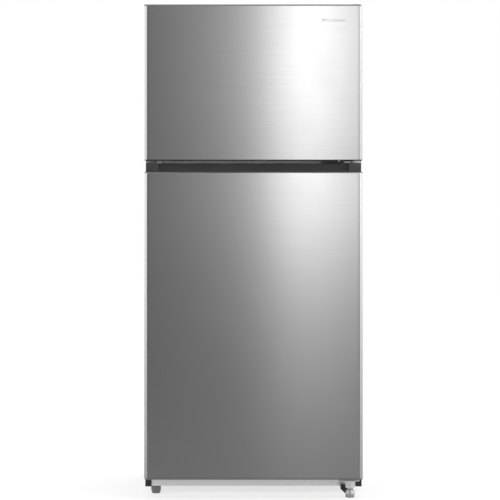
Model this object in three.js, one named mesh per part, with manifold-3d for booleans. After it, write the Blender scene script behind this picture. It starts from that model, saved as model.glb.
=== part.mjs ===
// A top freezer refrigerator, about 18 cubic feet, as separate named sub-parts.
// Millimetres. X points right, Y points back, Z points up. The origin is on the floor under the
// middle of the whole object. Both doors hang on the right and swing about one vertical line.
import * as THREE from 'three';
import Module from 'manifold-3d';
import { mergeVertices } from 'three/addons/utils/BufferGeometryUtils.js';

const wasm = await Module();
wasm.setup();

// ---- driving dimensions -------------------------------------------------------------------

const GAP = 0.3; // between pieces that touch
const ROUND = 24; // sides of a pin, bore, roller or foot

const CASE = { half: 373, front: -294, back: 350, bottom: 36, top: 1688, sheet: 1.2 };
const FLANGE = { half: 335, top: 1650, bottom: 97.3, toeHalf: 354 }; // the case's front opening
const DOOR = { half: 375, front: -368, depth: 60, edge: 9, sheet: 1, lip: 3, plug: 25 };
const FREEZER_DOOR = { bottom: 1163, top: 1695, lip: 4.5 };
const FRIDGE_DOOR = { bottom: 67.6, top: 1151.5 };
const HANDLE = { half: 327, height: 30.5, back: 30, well: 21, front: 6, plug: 31 };
const HINGE = { x: 351, y: -336, pin: 5, bore: 5.5, nose: 16.5 };
const HINGE_RECESS = { radius: 62, front: -24, lipEnd: 13 }; // in the freezer door's top cap
const GASKET = { half: 350, width: 14, depth: 10.1 };
const WALL = 3; // the moulded liners

const FREEZER = { half: 313, bottom: 1187, top: 1626, back: 285 };
const FRIDGE = { half: 323, bottom: 100, top: 1127, back: 290, humpTop: 310, humpFront: 110 };
const BAY = { front: 150, top: 280 }; // the machine bay behind the crisper drawers
const BASE = { bottom: 36, top: 38.5, front: -188, turn: -190 };
const SHELF = { front: -185, thick: 6, side: 1.5, rib: 8.7, ribWidth: 10 };

const FREEZER_SHELF_Z = 1398;
const FRIDGE_SHELF_Z = { upper: 790, lower: 560 };
const CRISPER_COVER = { bottom: 322, top: 330 };
const DRAWER = { inner: 4, outer: 303, bottom: 102, top: 312, front: -196, back: 100, wall: 2.5 };

const FREEZER_DYKE = { half: 296, back: 140, cross: 95, bottom: 37, top: 449 };
const FRIDGE_DYKE = { half: 306, back: 140, cross: 95, bottom: 45, top: 1045 };
const DYKE = { width: 24, skin: 2.5 };
const FREEZER_BIN = { back: 146, levels: { freezer_door_bin_lower: 61.5, freezer_door_bin_upper: 255 } };
const FRIDGE_BIN = {
  back: 153,
  levels: { fridge_door_bin_1: 69.5, fridge_door_bin_2: 400, fridge_door_bin_3: 720 },
};
const BIN = { height: 96, wall: 2.5, gap: 0.5, lug: 7 };

const FOOT = { radius: 17, stud: 5, hole: 5.8 };
const LEFT_FOOT = { x: -342, y: -213, pad: 24, top: 39.3 };
const RIGHT_FOOT = { x: 333, y: -320, pad: 28, top: 57 };
const ROLLER = { x: 330, y: 300, radius: 18, width: 20, axle: 4, bore: 4.6 };
const FAN = { z: 1500, radius: 52, front: 240, back: 255, hub: 16, shaft: 3, bore: 3.5 };

// ---- colours and finishes -----------------------------------------------------------------

const finish = (color, roughness, metalness = 0, extra = {}) =>
  new THREE.MeshStandardMaterial({ color, roughness, metalness, ...extra });

const FINISHES = {
  stainless: finish(0xb9bab9, 0.34, 0.95),
  caseGrey: finish(0x8f9192, 0.5, 0.3),
  railGrey: finish(0xb3b4b5, 0.45, 0.5),
  steel: finish(0xc3c5c6, 0.35, 0.9),
  black: finish(0x26272a, 0.5),
  rubber: finish(0x2b2c2e, 0.85),
  gasket: finish(0x9a9c9e, 0.7),
  white: finish(0xf1f2f2, 0.4),
  foam: finish(0xd9c27c, 0.95),
  clear: finish(0xdfe9ea, 0.15, 0, { transparent: true, opacity: 0.45 }),
  copper: finish(0xb4683c, 0.35, 0.9),
  pot: finish(0x202123, 0.4, 0.2),
  coil: finish(0xc9cbcc, 0.4, 0.9),
};

// ---- solids -------------------------------------------------------------------------------

/** A closed geometry as a solid that can be joined and cut. */
function toSolid(geometry) {
  const loose = geometry.index ? geometry.toNonIndexed() : geometry.clone();
  loose.deleteAttribute('normal');
  loose.deleteAttribute('uv');
  const merged = mergeVertices(loose, 1e-4);
  return new wasm.Manifold(new wasm.Mesh({
    numProp: 3,
    vertProperties: new Float32Array(merged.attributes.position.array),
    triVerts: new Uint32Array(merged.index.array),
  }));
}

/** A solid as a geometry for a mesh. */
function toGeometry(solid) {
  const mesh = solid.getMesh();
  const geometry = new THREE.BufferGeometry();
  geometry.setAttribute('position', new THREE.BufferAttribute(mesh.vertProperties, 3));
  geometry.setIndex(new THREE.BufferAttribute(mesh.triVerts, 1));
  geometry.computeVertexNormals();
  return geometry;
}

const join = (first, ...rest) => rest.reduce((all, solid) => all.add(solid), first);
const cut = (first, ...rest) => rest.reduce((all, solid) => all.subtract(solid), first);
const about = (half) => [-half, half];
const grown = ([low, high], by) => [low - by, high + by];

/** A box between two values along each axis. */
function block([x0, x1], [y0, y1], [z0, z1]) {
  const geometry = new THREE.BoxGeometry(x1 - x0, y1 - y0, z1 - z0);
  return toSolid(geometry.translate((x0 + x1) / 2, (y0 + y1) / 2, (z0 + z1) / 2));
}

/** A box and its mirror image in X. */
function pairOf([x0, x1], y, z) {
  return [block([x0, x1], y, z), block([-x1, -x0], y, z)];
}

/** A round bar along 'x', 'y' or 'z' between two values, centred on the two other coordinates. */
function bar(axis, radius, [from, to], [a, b], sides = ROUND) {
  const geometry = new THREE.CylinderGeometry(radius, radius, to - from, sides);
  const middle = (from + to) / 2;
  if (axis === 'x') geometry.rotateZ(-Math.PI / 2).translate(middle, a, b);
  if (axis === 'y') geometry.translate(a, middle, b);
  if (axis === 'z') geometry.rotateX(Math.PI / 2).translate(a, b, middle);
  return toSolid(geometry);
}

/** An outline in X and Y, raised from one height to another. */
function prism(shape, [z0, z1], curveSegments = 5) {
  const options = { depth: z1 - z0, bevelEnabled: false, curveSegments };
  return toSolid(new THREE.ExtrudeGeometry(shape, options).translate(0, 0, z0));
}

/** A profile of [radius, height] pairs turned about Z, starting and ending on the axis. */
function turned(profile, sides = ROUND) {
  const points = profile.map(([radius, height]) => new THREE.Vector2(radius, height));
  return toSolid(new THREE.LatheGeometry(points, sides).rotateX(Math.PI / 2));
}

/** An open-topped tray with even walls. */
function tray(x, y, z, wall) {
  const inside = block(grown(x, -wall), grown(y, -wall), [z[0] + wall, z[1] + 1]);
  return cut(block(x, y, z), inside);
}

/** Adds a solid to a group as a named mesh. */
function place(group, name, solid, material, position = [0, 0, 0]) {
  const mesh = new THREE.Mesh(toGeometry(solid), material);
  mesh.name = name;
  mesh.position.set(...position);
  group.add(mesh);
  return mesh;
}

// ---- cabinet ------------------------------------------------------------------------------

const CAP_REACH = { inner: 354, outer: 375, bottom: 34, top: 57.5, front: -298, back: -272 };

/** The painted sheet that wraps over the top and sides, with its front flange. */
function outerCase() {
  const inside = CASE.half - CASE.sheet;
  const wrap = cut(
    block(about(CASE.half), [CASE.front, CASE.back], [CASE.bottom, CASE.top]),
    block(about(inside), [CASE.front + CASE.sheet, CASE.back + 1], [CASE.bottom - 1, CASE.top - CASE.sheet]),
  );
  const flangeDepth = [CASE.front - 1, CASE.front + CASE.sheet + 1];
  const notchY = [CASE.front - 1, CAP_REACH.back + GAP];
  return cut(
    wrap,
    block(about(FLANGE.half), flangeDepth, [FLANGE.bottom, FLANGE.top]),
    block(about(FLANGE.toeHalf), flangeDepth, [CASE.bottom - 1, FLANGE.bottom + 0.1]),
    ...pairOf([CAP_REACH.inner - GAP, CASE.half + 1], notchY, [CASE.bottom - 1, CAP_REACH.top + GAP]),
  );
}

const CORD_GLAND = { x: 300, z: 310, radius: 12, hole: 4 };

/** The back sheet above the machine bay, with pressed stiffening swages and the cord's hole. */
function rearPanel() {
  const sheet = cut(
    block(about(CASE.half - 1), [CASE.back + GAP, CASE.back + 1.5], [BAY.top + 4, CASE.top - 2]),
    bar('y', CORD_GLAND.hole + 1, [CASE.back, CASE.back + 2], [CORD_GLAND.x, CORD_GLAND.z]),
  );
  const swages = [-240, -120, 0, 120].map((x) =>
    block([x - 9, x + 9], [CASE.back + 1, CASE.back + 3], [360, 1320]));
  return join(sheet, ...swages);
}

/** The two outside shapes of the fridge compartment: a low front part and a full-depth top. */
function fridgeSpace(grow, mouth) {
  const half = FRIDGE.half + grow;
  const tall = [FRIDGE.bottom - grow, FRIDGE.top + grow];
  return join(
    block(about(half), [mouth, FRIDGE.humpFront + grow], tall),
    block(about(half), [mouth, FRIDGE.back + grow], [FRIDGE.humpTop - grow, FRIDGE.top + grow]),
  );
}

function freezerSpace(grow, mouth) {
  const height = [FREEZER.bottom - grow, FREEZER.top + grow];
  return block(about(FREEZER.half + grow), [mouth, FREEZER.back + grow], height);
}

/** Foamed insulation between the case and the liners, clear of the machine bay. */
function cabinetFoam() {
  const front = CASE.front + WALL + GAP;
  const half = CASE.half - CASE.sheet - GAP;
  const body = block(about(half), [front, CASE.back - GAP], [BASE.top + 1.5, CASE.top - CASE.sheet - GAP]);
  const bay = block(about(half + 1), [BAY.front, CASE.back + 1], [0, BAY.top]);
  const caps = pairOf([CAP_REACH.inner - GAP, CASE.half], [CASE.front, CAP_REACH.back + GAP],
    [0, CAP_REACH.top + GAP]);
  const mouth = CASE.front - 1;
  return cut(body, bay, ...caps, fridgeSpace(WALL + GAP, mouth), freezerSpace(WALL + GAP, mouth));
}

/** Ribs along both side walls that a shelf slides onto, their tops just under the shelf. */
function shelfRibs(half, back, shelfBottom) {
  const z = [shelfBottom - GAP - SHELF.rib, shelfBottom - GAP];
  return pairOf([half - SHELF.ribWidth, half + 1], [SHELF.front + 5, back], z);
}

function freezerLiner() {
  const lipHalf = FLANGE.half - GAP;
  const lip = block(about(lipHalf), [CASE.front, CASE.front + WALL], [FREEZER.bottom - WALL, FLANGE.top - GAP]);
  const shell = cut(join(freezerSpace(WALL, CASE.front), lip), freezerSpace(0, CASE.front - 1));
  return join(shell, ...shelfRibs(FREEZER.half, 226, FREEZER_SHELF_Z));
}

function fridgeLiner() {
  const lipHalf = FLANGE.half - GAP;
  const lipTop = FRIDGE.top + WALL;
  const lip = block(about(lipHalf), [CASE.front, CASE.front + WALL], [FLANGE.bottom, lipTop]);
  const shell = cut(join(fridgeSpace(WALL, CASE.front), lip), fridgeSpace(0, CASE.front - 1));
  const shelves = [FRIDGE_SHELF_Z.upper, FRIDGE_SHELF_Z.lower, CRISPER_COVER.bottom];
  const guideX = [DRAWER.outer + 2, DRAWER.outer + 6];
  const drawerGuides = pairOf(guideX, [SHELF.front, DRAWER.back], [FRIDGE.bottom - 1, DRAWER.bottom + 12]);
  return join(shell, ...shelves.flatMap((z) => shelfRibs(FRIDGE.half, 270, z)), ...drawerGuides);
}

/** The sheet across the front between the two compartments. */
function centerRail() {
  const z = [FRIDGE.top + WALL + GAP, FREEZER.bottom - WALL - GAP];
  return block(about(FLANGE.half - GAP), [CASE.front, CASE.front + WALL], z);
}

/** The toe rail under the doors, with a foot hole in its bottom return. */
function baseRail() {
  const half = FLANGE.toeHalf - 0.5;
  const face = block(about(half), [CASE.front, CASE.front + 2.5], [BASE.bottom, FLANGE.bottom - 0.6]);
  const turnedIn = block(about(half), [CASE.front, BASE.turn], [BASE.bottom, BASE.top]);
  return cut(join(face, turnedIn), bar('z', FOOT.hole, [0, 60], [LEFT_FOOT.x, LEFT_FOOT.y]));
}

/** A moulded cap over the case's bottom front corner; side is -1 on the left and 1 on the right. */
function cornerCap(side) {
  const { inner, outer, bottom, top, front, back } = CAP_REACH;
  const shell = cut(
    block([inner, outer], [front, back], [bottom, top]),
    block([inner - 1, outer - 2], [front + 2, back + 1], [bottom + 2, top - 2]),
  );
  return side > 0 ? shell : shell.mirror([1, 0, 0]);
}

/** The steel plate under the machine bay, with a fork for each rear roller. */
function basePlate() {
  const plate = block(about(CASE.half - 1.5), [BASE.front, CASE.back - 1], [BASE.bottom, BASE.top]);
  const windows = [-1, 1].map((side) => block(
    [side * ROLLER.x - ROLLER.width / 2 - 2, side * ROLLER.x + ROLLER.width / 2 + 2],
    [ROLLER.y - 22, ROLLER.y + 22], [0, 60]));
  const cheeks = [-1, 1].flatMap((side) => [-1, 1].map((hand) => {
    const x = side * ROLLER.x + hand * (ROLLER.width / 2 + 3.2);
    return block([x - 1.2, x + 1.2], [ROLLER.y - 14, ROLLER.y + 14], [9, BASE.top]);
  }));
  const bores = [-1, 1].map((side) => bar('x', ROLLER.axle + 0.5,
    [side * ROLLER.x - 20, side * ROLLER.x + 20], [ROLLER.y, ROLLER.radius]));
  const foam = block(about(60), [40, 80], [BASE.bottom - 1, BASE.top + 1]); // foaming port
  return cut(join(cut(plate, ...windows, foam), ...cheeks), ...bores);
}

// ---- machine bay --------------------------------------------------------------------------

const COMPRESSOR = { x: -120, y: 250, floor: 42, radius: 74 };

/** The compressor's welded pot on its foot plate and four feet, about its own axis. */
function compressor() {
  const pot = turned([[0, 14], [48, 14], [70, 36], [74, 60], [74, 104], [66, 128], [40, 145], [0, 150]], 32);
  const plate = block(about(88), about(44), [10, 15]);
  const feet = [-76, 76].flatMap((x) => [-34, 34].map((y) => bar('z', 10, [0, 11], [x, y], 12)));
  const stub = bar('x', 4.5, [60, 92], [20, 84], 12);
  return join(pot, plate, ...feet, stub);
}

/** The suction pipe, from the pot's stub up to the bay's ceiling, with its filter drier. */
function refrigerantPipe() {
  const route = new THREE.CatmullRomCurve3([
    new THREE.Vector3(0, 0, 0), new THREE.Vector3(14, 0, 0), new THREE.Vector3(40, 4, 14),
    new THREE.Vector3(58, 22, 52), new THREE.Vector3(60, 30, 96), new THREE.Vector3(60, 30, 150),
  ]);
  const section = new THREE.Shape().absarc(0, 0, 3.5, 0, 2 * Math.PI);
  const options = { steps: 24, extrudePath: route, curveSegments: 4 };
  const drier = turned([[0, 96], [6, 98], [9, 104], [9, 132], [6, 138], [0, 140]], 12);
  return join(toSolid(new THREE.ExtrudeGeometry(section, options)), drier.translate([60, 30, 0]));
}

/** The sheet that closes the machine bay, with two banks of louvre slots. */
function machineCover() {
  const sheet = block(about(CASE.half - 7), [CASE.back + GAP, CASE.back + 2.3], [BASE.top + 1.5, BAY.top + 3.7]);
  const slots = [-210, 210].flatMap((x) => Array.from({ length: 8 }, (_, i) =>
    block([x - 90, x + 90], [CASE.back, CASE.back + 3], [80 + i * 20, 88 + i * 20])));
  return cut(sheet, ...slots);
}

// ---- hinges -------------------------------------------------------------------------------

/** A plate with a round nose about the hinge line and an arm that runs back from it. */
function hingePlate(nose, x, y, z) {
  return join(bar('z', nose, z, [0, 0]), block(x, y, z));
}

const TOP_ARM = { left: -41, right: 2, plate: 3, over: FREEZER_DOOR.top - 3.5, wall: 1.2 };

/** The top hinge, in a frame on the hinge line: a plate on the case, a step, a nose and a pin. */
function topHingeBracket() {
  const x = [TOP_ARM.left, TOP_ARM.right];
  const step = CASE.front - HINGE.y + 2;
  const onCase = [CASE.top + GAP, CASE.top + GAP + TOP_ARM.plate];
  const overDoor = [TOP_ARM.over, TOP_ARM.over + TOP_ARM.plate];
  return join(
    hingePlate(HINGE.nose, x, [0, step], overDoor),
    block(x, [step - 3, step + 50], onCase),
    block(x, [step - 3, step], [onCase[0], overDoor[1]]),
    bar('z', HINGE.pin, [1668, overDoor[1]], [0, 0]),
  );
}

/** The moulded cover over the top hinge, open underneath. */
function topHingeCover() {
  const { wall, left, right, over } = TOP_ARM;
  const atCase = CASE.front - HINGE.y + 1;
  const back = CASE.front - HINGE.y + 60;
  const top = FREEZER_DOOR.top + 2.5;
  const x = grown([left, right], 1.5 + wall);
  const shell = join(
    hingePlate(20, x, [-wall - 1, back], [over - GAP, top]),
    block(x, [atCase, back], [CASE.top + GAP, top]),
  );
  return cut(shell, hingePlate(20 - wall, grown(x, -wall), [-1, back - wall], [CASE.top - 1, top - wall]));
}

/** The bracket between the doors, on the hinge line, with a pin into each door. */
function middleHingeBracket() {
  const reach = CASE.front - GAP - HINGE.y;
  const x = [-38, HINGE.nose];
  return join(
    hingePlate(HINGE.nose, x, [0, reach], [1154.5, 1158]),
    block(x, [reach - 3, reach], [1147, 1167]),
    bar('z', HINGE.pin, [1128, 1184], [0, 0]),
  );
}

/** The bracket under the fridge door, on the hinge line, with its pin and the boss of a foot. */
function bottomHingeBracket() {
  const reach = CASE.front - GAP - HINGE.y;
  const plateZ = [58, 61.5];
  const foot = [RIGHT_FOOT.x - HINGE.x, RIGHT_FOOT.y - HINGE.y];
  const bracket = join(
    hingePlate(14, [-57, 14], [0, reach], plateZ),
    block([-57, 0], [-14, 1], plateZ),
    block([-57, 2.5], [reach - 3, reach], [38, plateZ[1]]),
    bar('z', 13, [36, 59], foot),
    bar('z', HINGE.pin, [plateZ[0], 90], [0, 0]),
  );
  return cut(bracket, bar('z', FOOT.hole, [30, 58], foot));
}

/** A levelling foot with its stud, about its own axis, standing on the floor. */
function foot({ pad, top }) {
  const { radius, stud } = FOOT;
  const outline = [[0, 0], [radius - 4, 0], [radius, 5], [radius, pad - 6], [radius - 3, pad - 4]];
  return turned([...outline, [radius - 3, pad], [stud, pad], [stud, top], [0, top]]);
}

function roller() {
  const half = ROLLER.width / 2;
  return cut(bar('x', ROLLER.radius, about(half), [0, 0]), bar('x', ROLLER.bore, about(half + 1), [0, 0]));
}

/** A headed axle pin through a roller and its fork. */
function rollerAxle() {
  const head = bar('x', ROLLER.axle + 3, [-18, -15.2], [0, 0]);
  return join(bar('x', ROLLER.axle, [-16, 16], [0, 0]), head);
}

// ---- inside the freezer -------------------------------------------------------------------

/** The panel in front of the coil and fan, with a fan grille above and return slots below. */
function freezerBackPanel() {
  const sheet = block(about(FREEZER.half - SHELF.side), [232, 235], [FREEZER.bottom + 1.5, FREEZER.top - 1.5]);
  const grille = Array.from({ length: 7 }, (_, i) => {
    const z = FAN.z + (i - 3) * 13;
    const half = Math.sqrt(FAN.radius ** 2 - (z - FAN.z) ** 2);
    return block(about(half), [231, 236], [z - 3.5, z + 3.5]);
  });
  const returns = Array.from({ length: 9 }, (_, i) => {
    const x = (i - 4) * 56;
    return block([x - 20, x + 20], [231, 236], [1200, 1208]);
  });
  return cut(sheet, ...grille, ...returns);
}

/** The finned cooling coil. */
function evaporator() {
  const body = block(about(240), [242, 278], [1215, 1400]);
  const slots = Array.from({ length: 19 }, (_, i) => {
    const x = -228 + i * 25.3;
    return block([x - 5, x + 5], [241, 262], [1222, 1393]);
  });
  const ends = pairOf([239, 252], [250, 258], [1228, 1387]);
  return join(cut(body, ...slots), ...ends);
}

function fanMotor() {
  const can = bar('y', 28, [FAN.back + 3, FREEZER.back - GAP - 2], [0, FAN.z]);
  const mount = block(about(60), [FREEZER.back - GAP - 4, FREEZER.back - GAP], [FAN.z - 12, FAN.z + 12]);
  return join(can, mount, bar('y', FAN.shaft, [FAN.front + 2, FAN.back + 4], [0, FAN.z], 12));
}

/** The fan's hub and four pitched blades, about its own axis along Y. */
function fanBlade() {
  const depth = FAN.back - FAN.front;
  const blade = new THREE.BoxGeometry(FAN.radius - FAN.hub + 3, 1.6, 30).rotateX(0.35)
    .translate((FAN.radius + FAN.hub - 3) / 2, 0, 0);
  const blades = [0, 1, 2, 3].map((i) => toSolid(blade.clone().rotateY((i * Math.PI) / 2)));
  const hub = bar('y', FAN.hub, about(depth / 2), [0, 0]);
  return cut(join(hub, ...blades), bar('y', FAN.bore, about(depth), [0, 0], 12));
}

// ---- shelves and fittings -----------------------------------------------------------------

/** A shelf with a raised back stop and a rounded front rail, across a compartment. */
function shelf(half, back, thick = SHELF.thick) {
  const x = about(half - SHELF.side);
  return join(
    block(x, [SHELF.front, back], [0, thick]),
    block(grown(x, -14), [SHELF.front, SHELF.front + 14], [-7, thick]),
    block(x, [back - 6, back], [0, thick + 14]),
  );
}

/** The air duct up the fridge's back wall, with its outlets. */
function ductPanel() {
  const shell = cut(
    block(about(90), [272, FRIDGE.back - GAP], [450, 1100]),
    block(about(87), [275, FRIDGE.back + 1], [453, 1097]),
  );
  const outlets = [620, 850, 1040].flatMap((z) => [-45, 45].map((x) =>
    block([x - 28, x + 28], [271, 276], [z - 6, z + 6])));
  return cut(shell, ...outlets);
}

/** The control box under the fridge's ceiling, with a bore for the knob's shaft. */
function controlHousing() {
  const box = block(about(110), [-150, 10], [1085, FRIDGE.top - GAP]);
  const lampSeat = block([10, 100], [-130, -10], [1084, 1091]);
  return cut(box, lampSeat, bar('y', 5.5, [-151, -130], [-60, 1106]));
}

/** The temperature knob and its shaft, about its own axis along Y. */
function temperatureKnob() {
  const disc = bar('y', 17, [-14, 0], [0, 0]);
  const grip = block(about(3), [-22, -12], about(16));
  return join(disc, grip, bar('y', 4.5, [-1, 17], [0, 0], 16));
}

/** A crisper drawer with a proud front panel and a finger lip. */
function crisperDrawer() {
  const { inner, outer, bottom, top, front, back, wall } = DRAWER;
  const half = (outer - inner) / 2;
  const box = tray(about(half - 3), [front, back], [bottom, top - 12], wall);
  const panel = block(about(half), [front, front + 4], [bottom, top]);
  const lip = block(about(half - 40), [front, front + 16], [top - 20, top - 16]);
  return join(box, panel, lip);
}

// ---- doors, in a frame on the floor of each door's front face, in the middle of its width --

const HINGE_IN_DOOR = [HINGE.x, HINGE.y - DOOR.front];

/** A door's outline seen from above, pulled in all round, with round front edges. */
function doorOutline(inset) {
  const half = DOOR.half - inset;
  const radius = DOOR.edge - inset;
  const back = DOOR.depth - inset;
  const shape = new THREE.Shape();
  shape.moveTo(-half, back);
  shape.lineTo(-half, DOOR.edge);
  shape.absarc(-half + radius, DOOR.edge, radius, Math.PI, 1.5 * Math.PI, false);
  shape.absarc(half - radius, DOOR.edge, radius, 1.5 * Math.PI, 2 * Math.PI, false);
  shape.lineTo(half, back);
  shape.closePath();
  return shape;
}

/** The steel skin: front, both sides and a return at the back of each side. */
function doorSkin(z) {
  const tall = grown(z, 1);
  const hollow = prism(doorOutline(DOOR.sheet), tall);
  const backOpen = block(about(DOOR.half - 20), [DOOR.depth / 2, DOOR.depth + 1], tall);
  return cut(prism(doorOutline(0), z), hollow, backOpen);
}

const hingeBore = (from, to) => bar('z', HINGE.bore, [from, to], HINGE_IN_DOOR);

/** A cap under a door: a thin plate and a plug inside the skin, with the hinge's bore. */
function bottomCap(fingerGroove) {
  const plate = prism(doorOutline(0), [0, DOOR.lip]);
  const plug = prism(doorOutline(DOOR.sheet + GAP), [DOOR.lip - 1, DOOR.plug]);
  const cap = cut(join(plate, plug), hingeBore(-1, DOOR.plug - 2));
  if (!fingerGroove) return cap;
  return cut(cap, block(about(HANDLE.half), [13, 40], [-1, 14]));
}

/** The freezer door's top cap, with a recess round the hinge that is open to the back and right. */
function topCap(height) {
  const [x, y] = HINGE_IN_DOOR;
  const plateZ = [height - FREEZER_DOOR.lip, height];
  const { radius, front, lipEnd } = HINGE_RECESS;
  const behindLip = block([x - radius, x + 40], [y + front, DOOR.depth + 1], grown(plateZ, 1));
  const swing = bar('z', radius, grown(plateZ, 1), [x, y], 48);
  const recess = join(
    swing.intersect(behindLip),
    block([x + lipEnd, x + 40], [-1, DOOR.depth + 1], grown(plateZ, 1)),
  );
  const plate = cut(prism(doorOutline(0), plateZ), recess);
  const plug = prism(doorOutline(DOOR.sheet + GAP), [height - DOOR.plug - 4, plateZ[0]]);
  return cut(join(plug, plate.add(plug)), hingeBore(height - DOOR.plug - 3, height + 1));
}

/** The fridge door's black top: a block with a finger pocket along its front, for both doors. */
function handleCap(height) {
  const half = DOOR.half - 6;
  const base = height - HANDLE.height;
  const top = block(about(half), [1, DOOR.depth - 1], [base, height]);
  const plug = prism(doorOutline(DOOR.sheet + GAP), [base - HANDLE.plug, base]);
  const pocket = block(about(HANDLE.half), [-1, HANDLE.back], [base + 3, height + 1]);
  const well = block(about(HANDLE.half), [HANDLE.front, HANDLE.back], [base - HANDLE.well, height]);
  return cut(join(top, plug), pocket, well, hingeBore(base + 4, height + 1));
}

/** The raised frame on a door liner: two deep side walls and two shallower cross walls. */
function dykeWalls({ half, back, cross, bottom, top }, inset) {
  const from = DOOR.depth - 1;
  const sideX = grown([half - DYKE.width, half], -inset);
  const sideZ = grown([bottom, top], -inset);
  const crossX = about(half - DYKE.width / 2);
  return [
    ...pairOf(sideX, [from, back - inset], sideZ),
    block(crossX, [from, cross - inset], [bottom + inset, bottom + DYKE.width - inset]),
    block(crossX, [from, cross - inset], [top - DYKE.width + inset, top - inset]),
  ];
}

/** The moulded inner panel of a door, with lugs under its raised bins. */
function doorLiner(height, dyke, levels) {
  const plateY = [DOOR.depth + GAP, DOOR.depth + GAP + WALL];
  const plate = block(about(DOOR.half - 17), plateY, [DOOR.lip + GAP, height - FREEZER_DOOR.lip - 0.5]);
  const inner = dyke.half - DYKE.width;
  const lugs = Object.values(levels).slice(1).flatMap((z) =>
    pairOf([inner - BIN.lug, inner + 1], [plateY[0] + 1, dyke.back - 15], [z - 8, z - GAP]));
  const front = block(about(DOOR.half), [0, plateY[0]], [0, height]);
  const shell = cut(join(plate, ...dykeWalls(dyke, 0)), ...dykeWalls(dyke, DYKE.skin), front);
  return join(shell, ...lugs);
}

/** The foam between a door's skin and liner, filling the raised frame as well. */
function doorFoam(z, dyke) {
  const core = prism(doorOutline(DOOR.sheet + GAP), z);
  const back = block(about(DOOR.half - 20 - GAP), [DOOR.depth / 2, DOOR.depth], z);
  return join(core, back, ...dykeWalls(dyke, DYKE.skin + GAP));
}

function gasket([bottom, top]) {
  const y = [DOOR.depth + GAP + WALL + GAP, DOOR.depth + GAP + WALL + GAP + GASKET.depth];
  const outer = block(about(GASKET.half), y, [bottom, top]);
  const inner = about(GASKET.half - GASKET.width);
  return cut(outer, block(inner, grown(y, 1), [bottom + GASKET.width, top - GASKET.width]));
}

/** A door bin that hangs between the side walls of the liner. */
function doorBin(half, back) {
  const front = DOOR.depth + GAP + WALL + GAP;
  return tray(about(half), [front, back], [0, BIN.height], BIN.wall);
}

/** Everything that both doors have, hung in the door's own group. */
function doorCommon(name, door, skinTop, foamZ, gasketZ, dyke, bins) {
  const height = door.top - door.bottom;
  const group = new THREE.Group();
  group.position.set(0, DOOR.front, door.bottom);
  place(group, `${name}_skin`, doorSkin([DOOR.lip + GAP, skinTop]), FINISHES.stainless);
  place(group, `${name}_foam`, doorFoam(foamZ, dyke), FINISHES.foam);
  place(group, `${name}_liner`, doorLiner(height, dyke, bins.levels), FINISHES.white);
  place(group, `${name}_gasket`, gasket(gasketZ), FINISHES.gasket);
  const binHalf = dyke.half - DYKE.width - BIN.gap;
  for (const [bin, level] of Object.entries(bins.levels)) {
    place(group, bin, doorBin(binHalf, bins.back), FINISHES.clear, [0, 0, level]);
  }
  return group;
}

function freezerDoor() {
  const height = FREEZER_DOOR.top - FREEZER_DOOR.bottom;
  const skinTop = height - FREEZER_DOOR.lip - GAP;
  const foamZ = [DOOR.plug + GAP, height - DOOR.plug - 4 - GAP];
  const gasketZ = [1168.5 - FREEZER_DOOR.bottom, 1668 - FREEZER_DOOR.bottom];
  const group = doorCommon('freezer_door', FREEZER_DOOR, skinTop, foamZ, gasketZ, FREEZER_DYKE, FREEZER_BIN);
  place(group, 'freezer_door_top_cap', topCap(height), FINISHES.railGrey);
  place(group, 'freezer_door_bottom_cap', bottomCap(true), FINISHES.black);
  return group;
}

function fridgeDoor() {
  const height = FRIDGE_DOOR.top - FRIDGE_DOOR.bottom;
  const base = height - HANDLE.height;
  const foamZ = [DOOR.plug + GAP, base - HANDLE.plug - GAP];
  const gasketZ = [78 - FRIDGE_DOOR.bottom, 1145.5 - FRIDGE_DOOR.bottom];
  const group = doorCommon('fridge_door', FRIDGE_DOOR, base - GAP, foamZ, gasketZ, FRIDGE_DYKE, FRIDGE_BIN);
  place(group, 'fridge_door_handle_cap', handleCap(height), FINISHES.black);
  place(group, 'fridge_door_bottom_cap', bottomCap(false), FINISHES.black);
  return group;
}

// ---- assembly -----------------------------------------------------------------------------

function cabinet() {
  const group = new THREE.Group();
  place(group, 'outer_case', outerCase(), FINISHES.caseGrey);
  place(group, 'rear_panel', rearPanel(), FINISHES.caseGrey);
  place(group, 'cabinet_foam', cabinetFoam(), FINISHES.foam);
  place(group, 'freezer_liner', freezerLiner(), FINISHES.white);
  place(group, 'fridge_liner', fridgeLiner(), FINISHES.white);
  place(group, 'center_rail', centerRail(), FINISHES.railGrey);
  place(group, 'base_rail', baseRail(), FINISHES.railGrey);
  place(group, 'corner_cap_left', cornerCap(-1), FINISHES.black);
  place(group, 'corner_cap_right', cornerCap(1), FINISHES.black);
  place(group, 'base_plate', basePlate(), FINISHES.steel);
  const spacer = tray(about(18), [0, 16.2], [0, 40], 3);
  place(group, 'rear_spacer_left', spacer, FINISHES.black, [-300, CASE.back + 1.8, 1560]);
  place(group, 'rear_spacer_right', spacer, FINISHES.black, [300, CASE.back + 1.8, 1560]);
  const boardCover = tray(about(75), [0, 9.2], [0, 120], 2);
  place(group, 'control_board_cover', boardCover, FINISHES.caseGrey, [255, CASE.back + 1.8, 1380]);
  const { x, z, radius, hole } = CORD_GLAND;
  const gland = cut(bar('y', radius, [0, 10], [0, 0]), bar('y', hole, [-1, 11], [0, 0], 12));
  place(group, 'cord_gland', gland, FINISHES.rubber, [x, CASE.back + 1.8, z]);
  return group;
}

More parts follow.
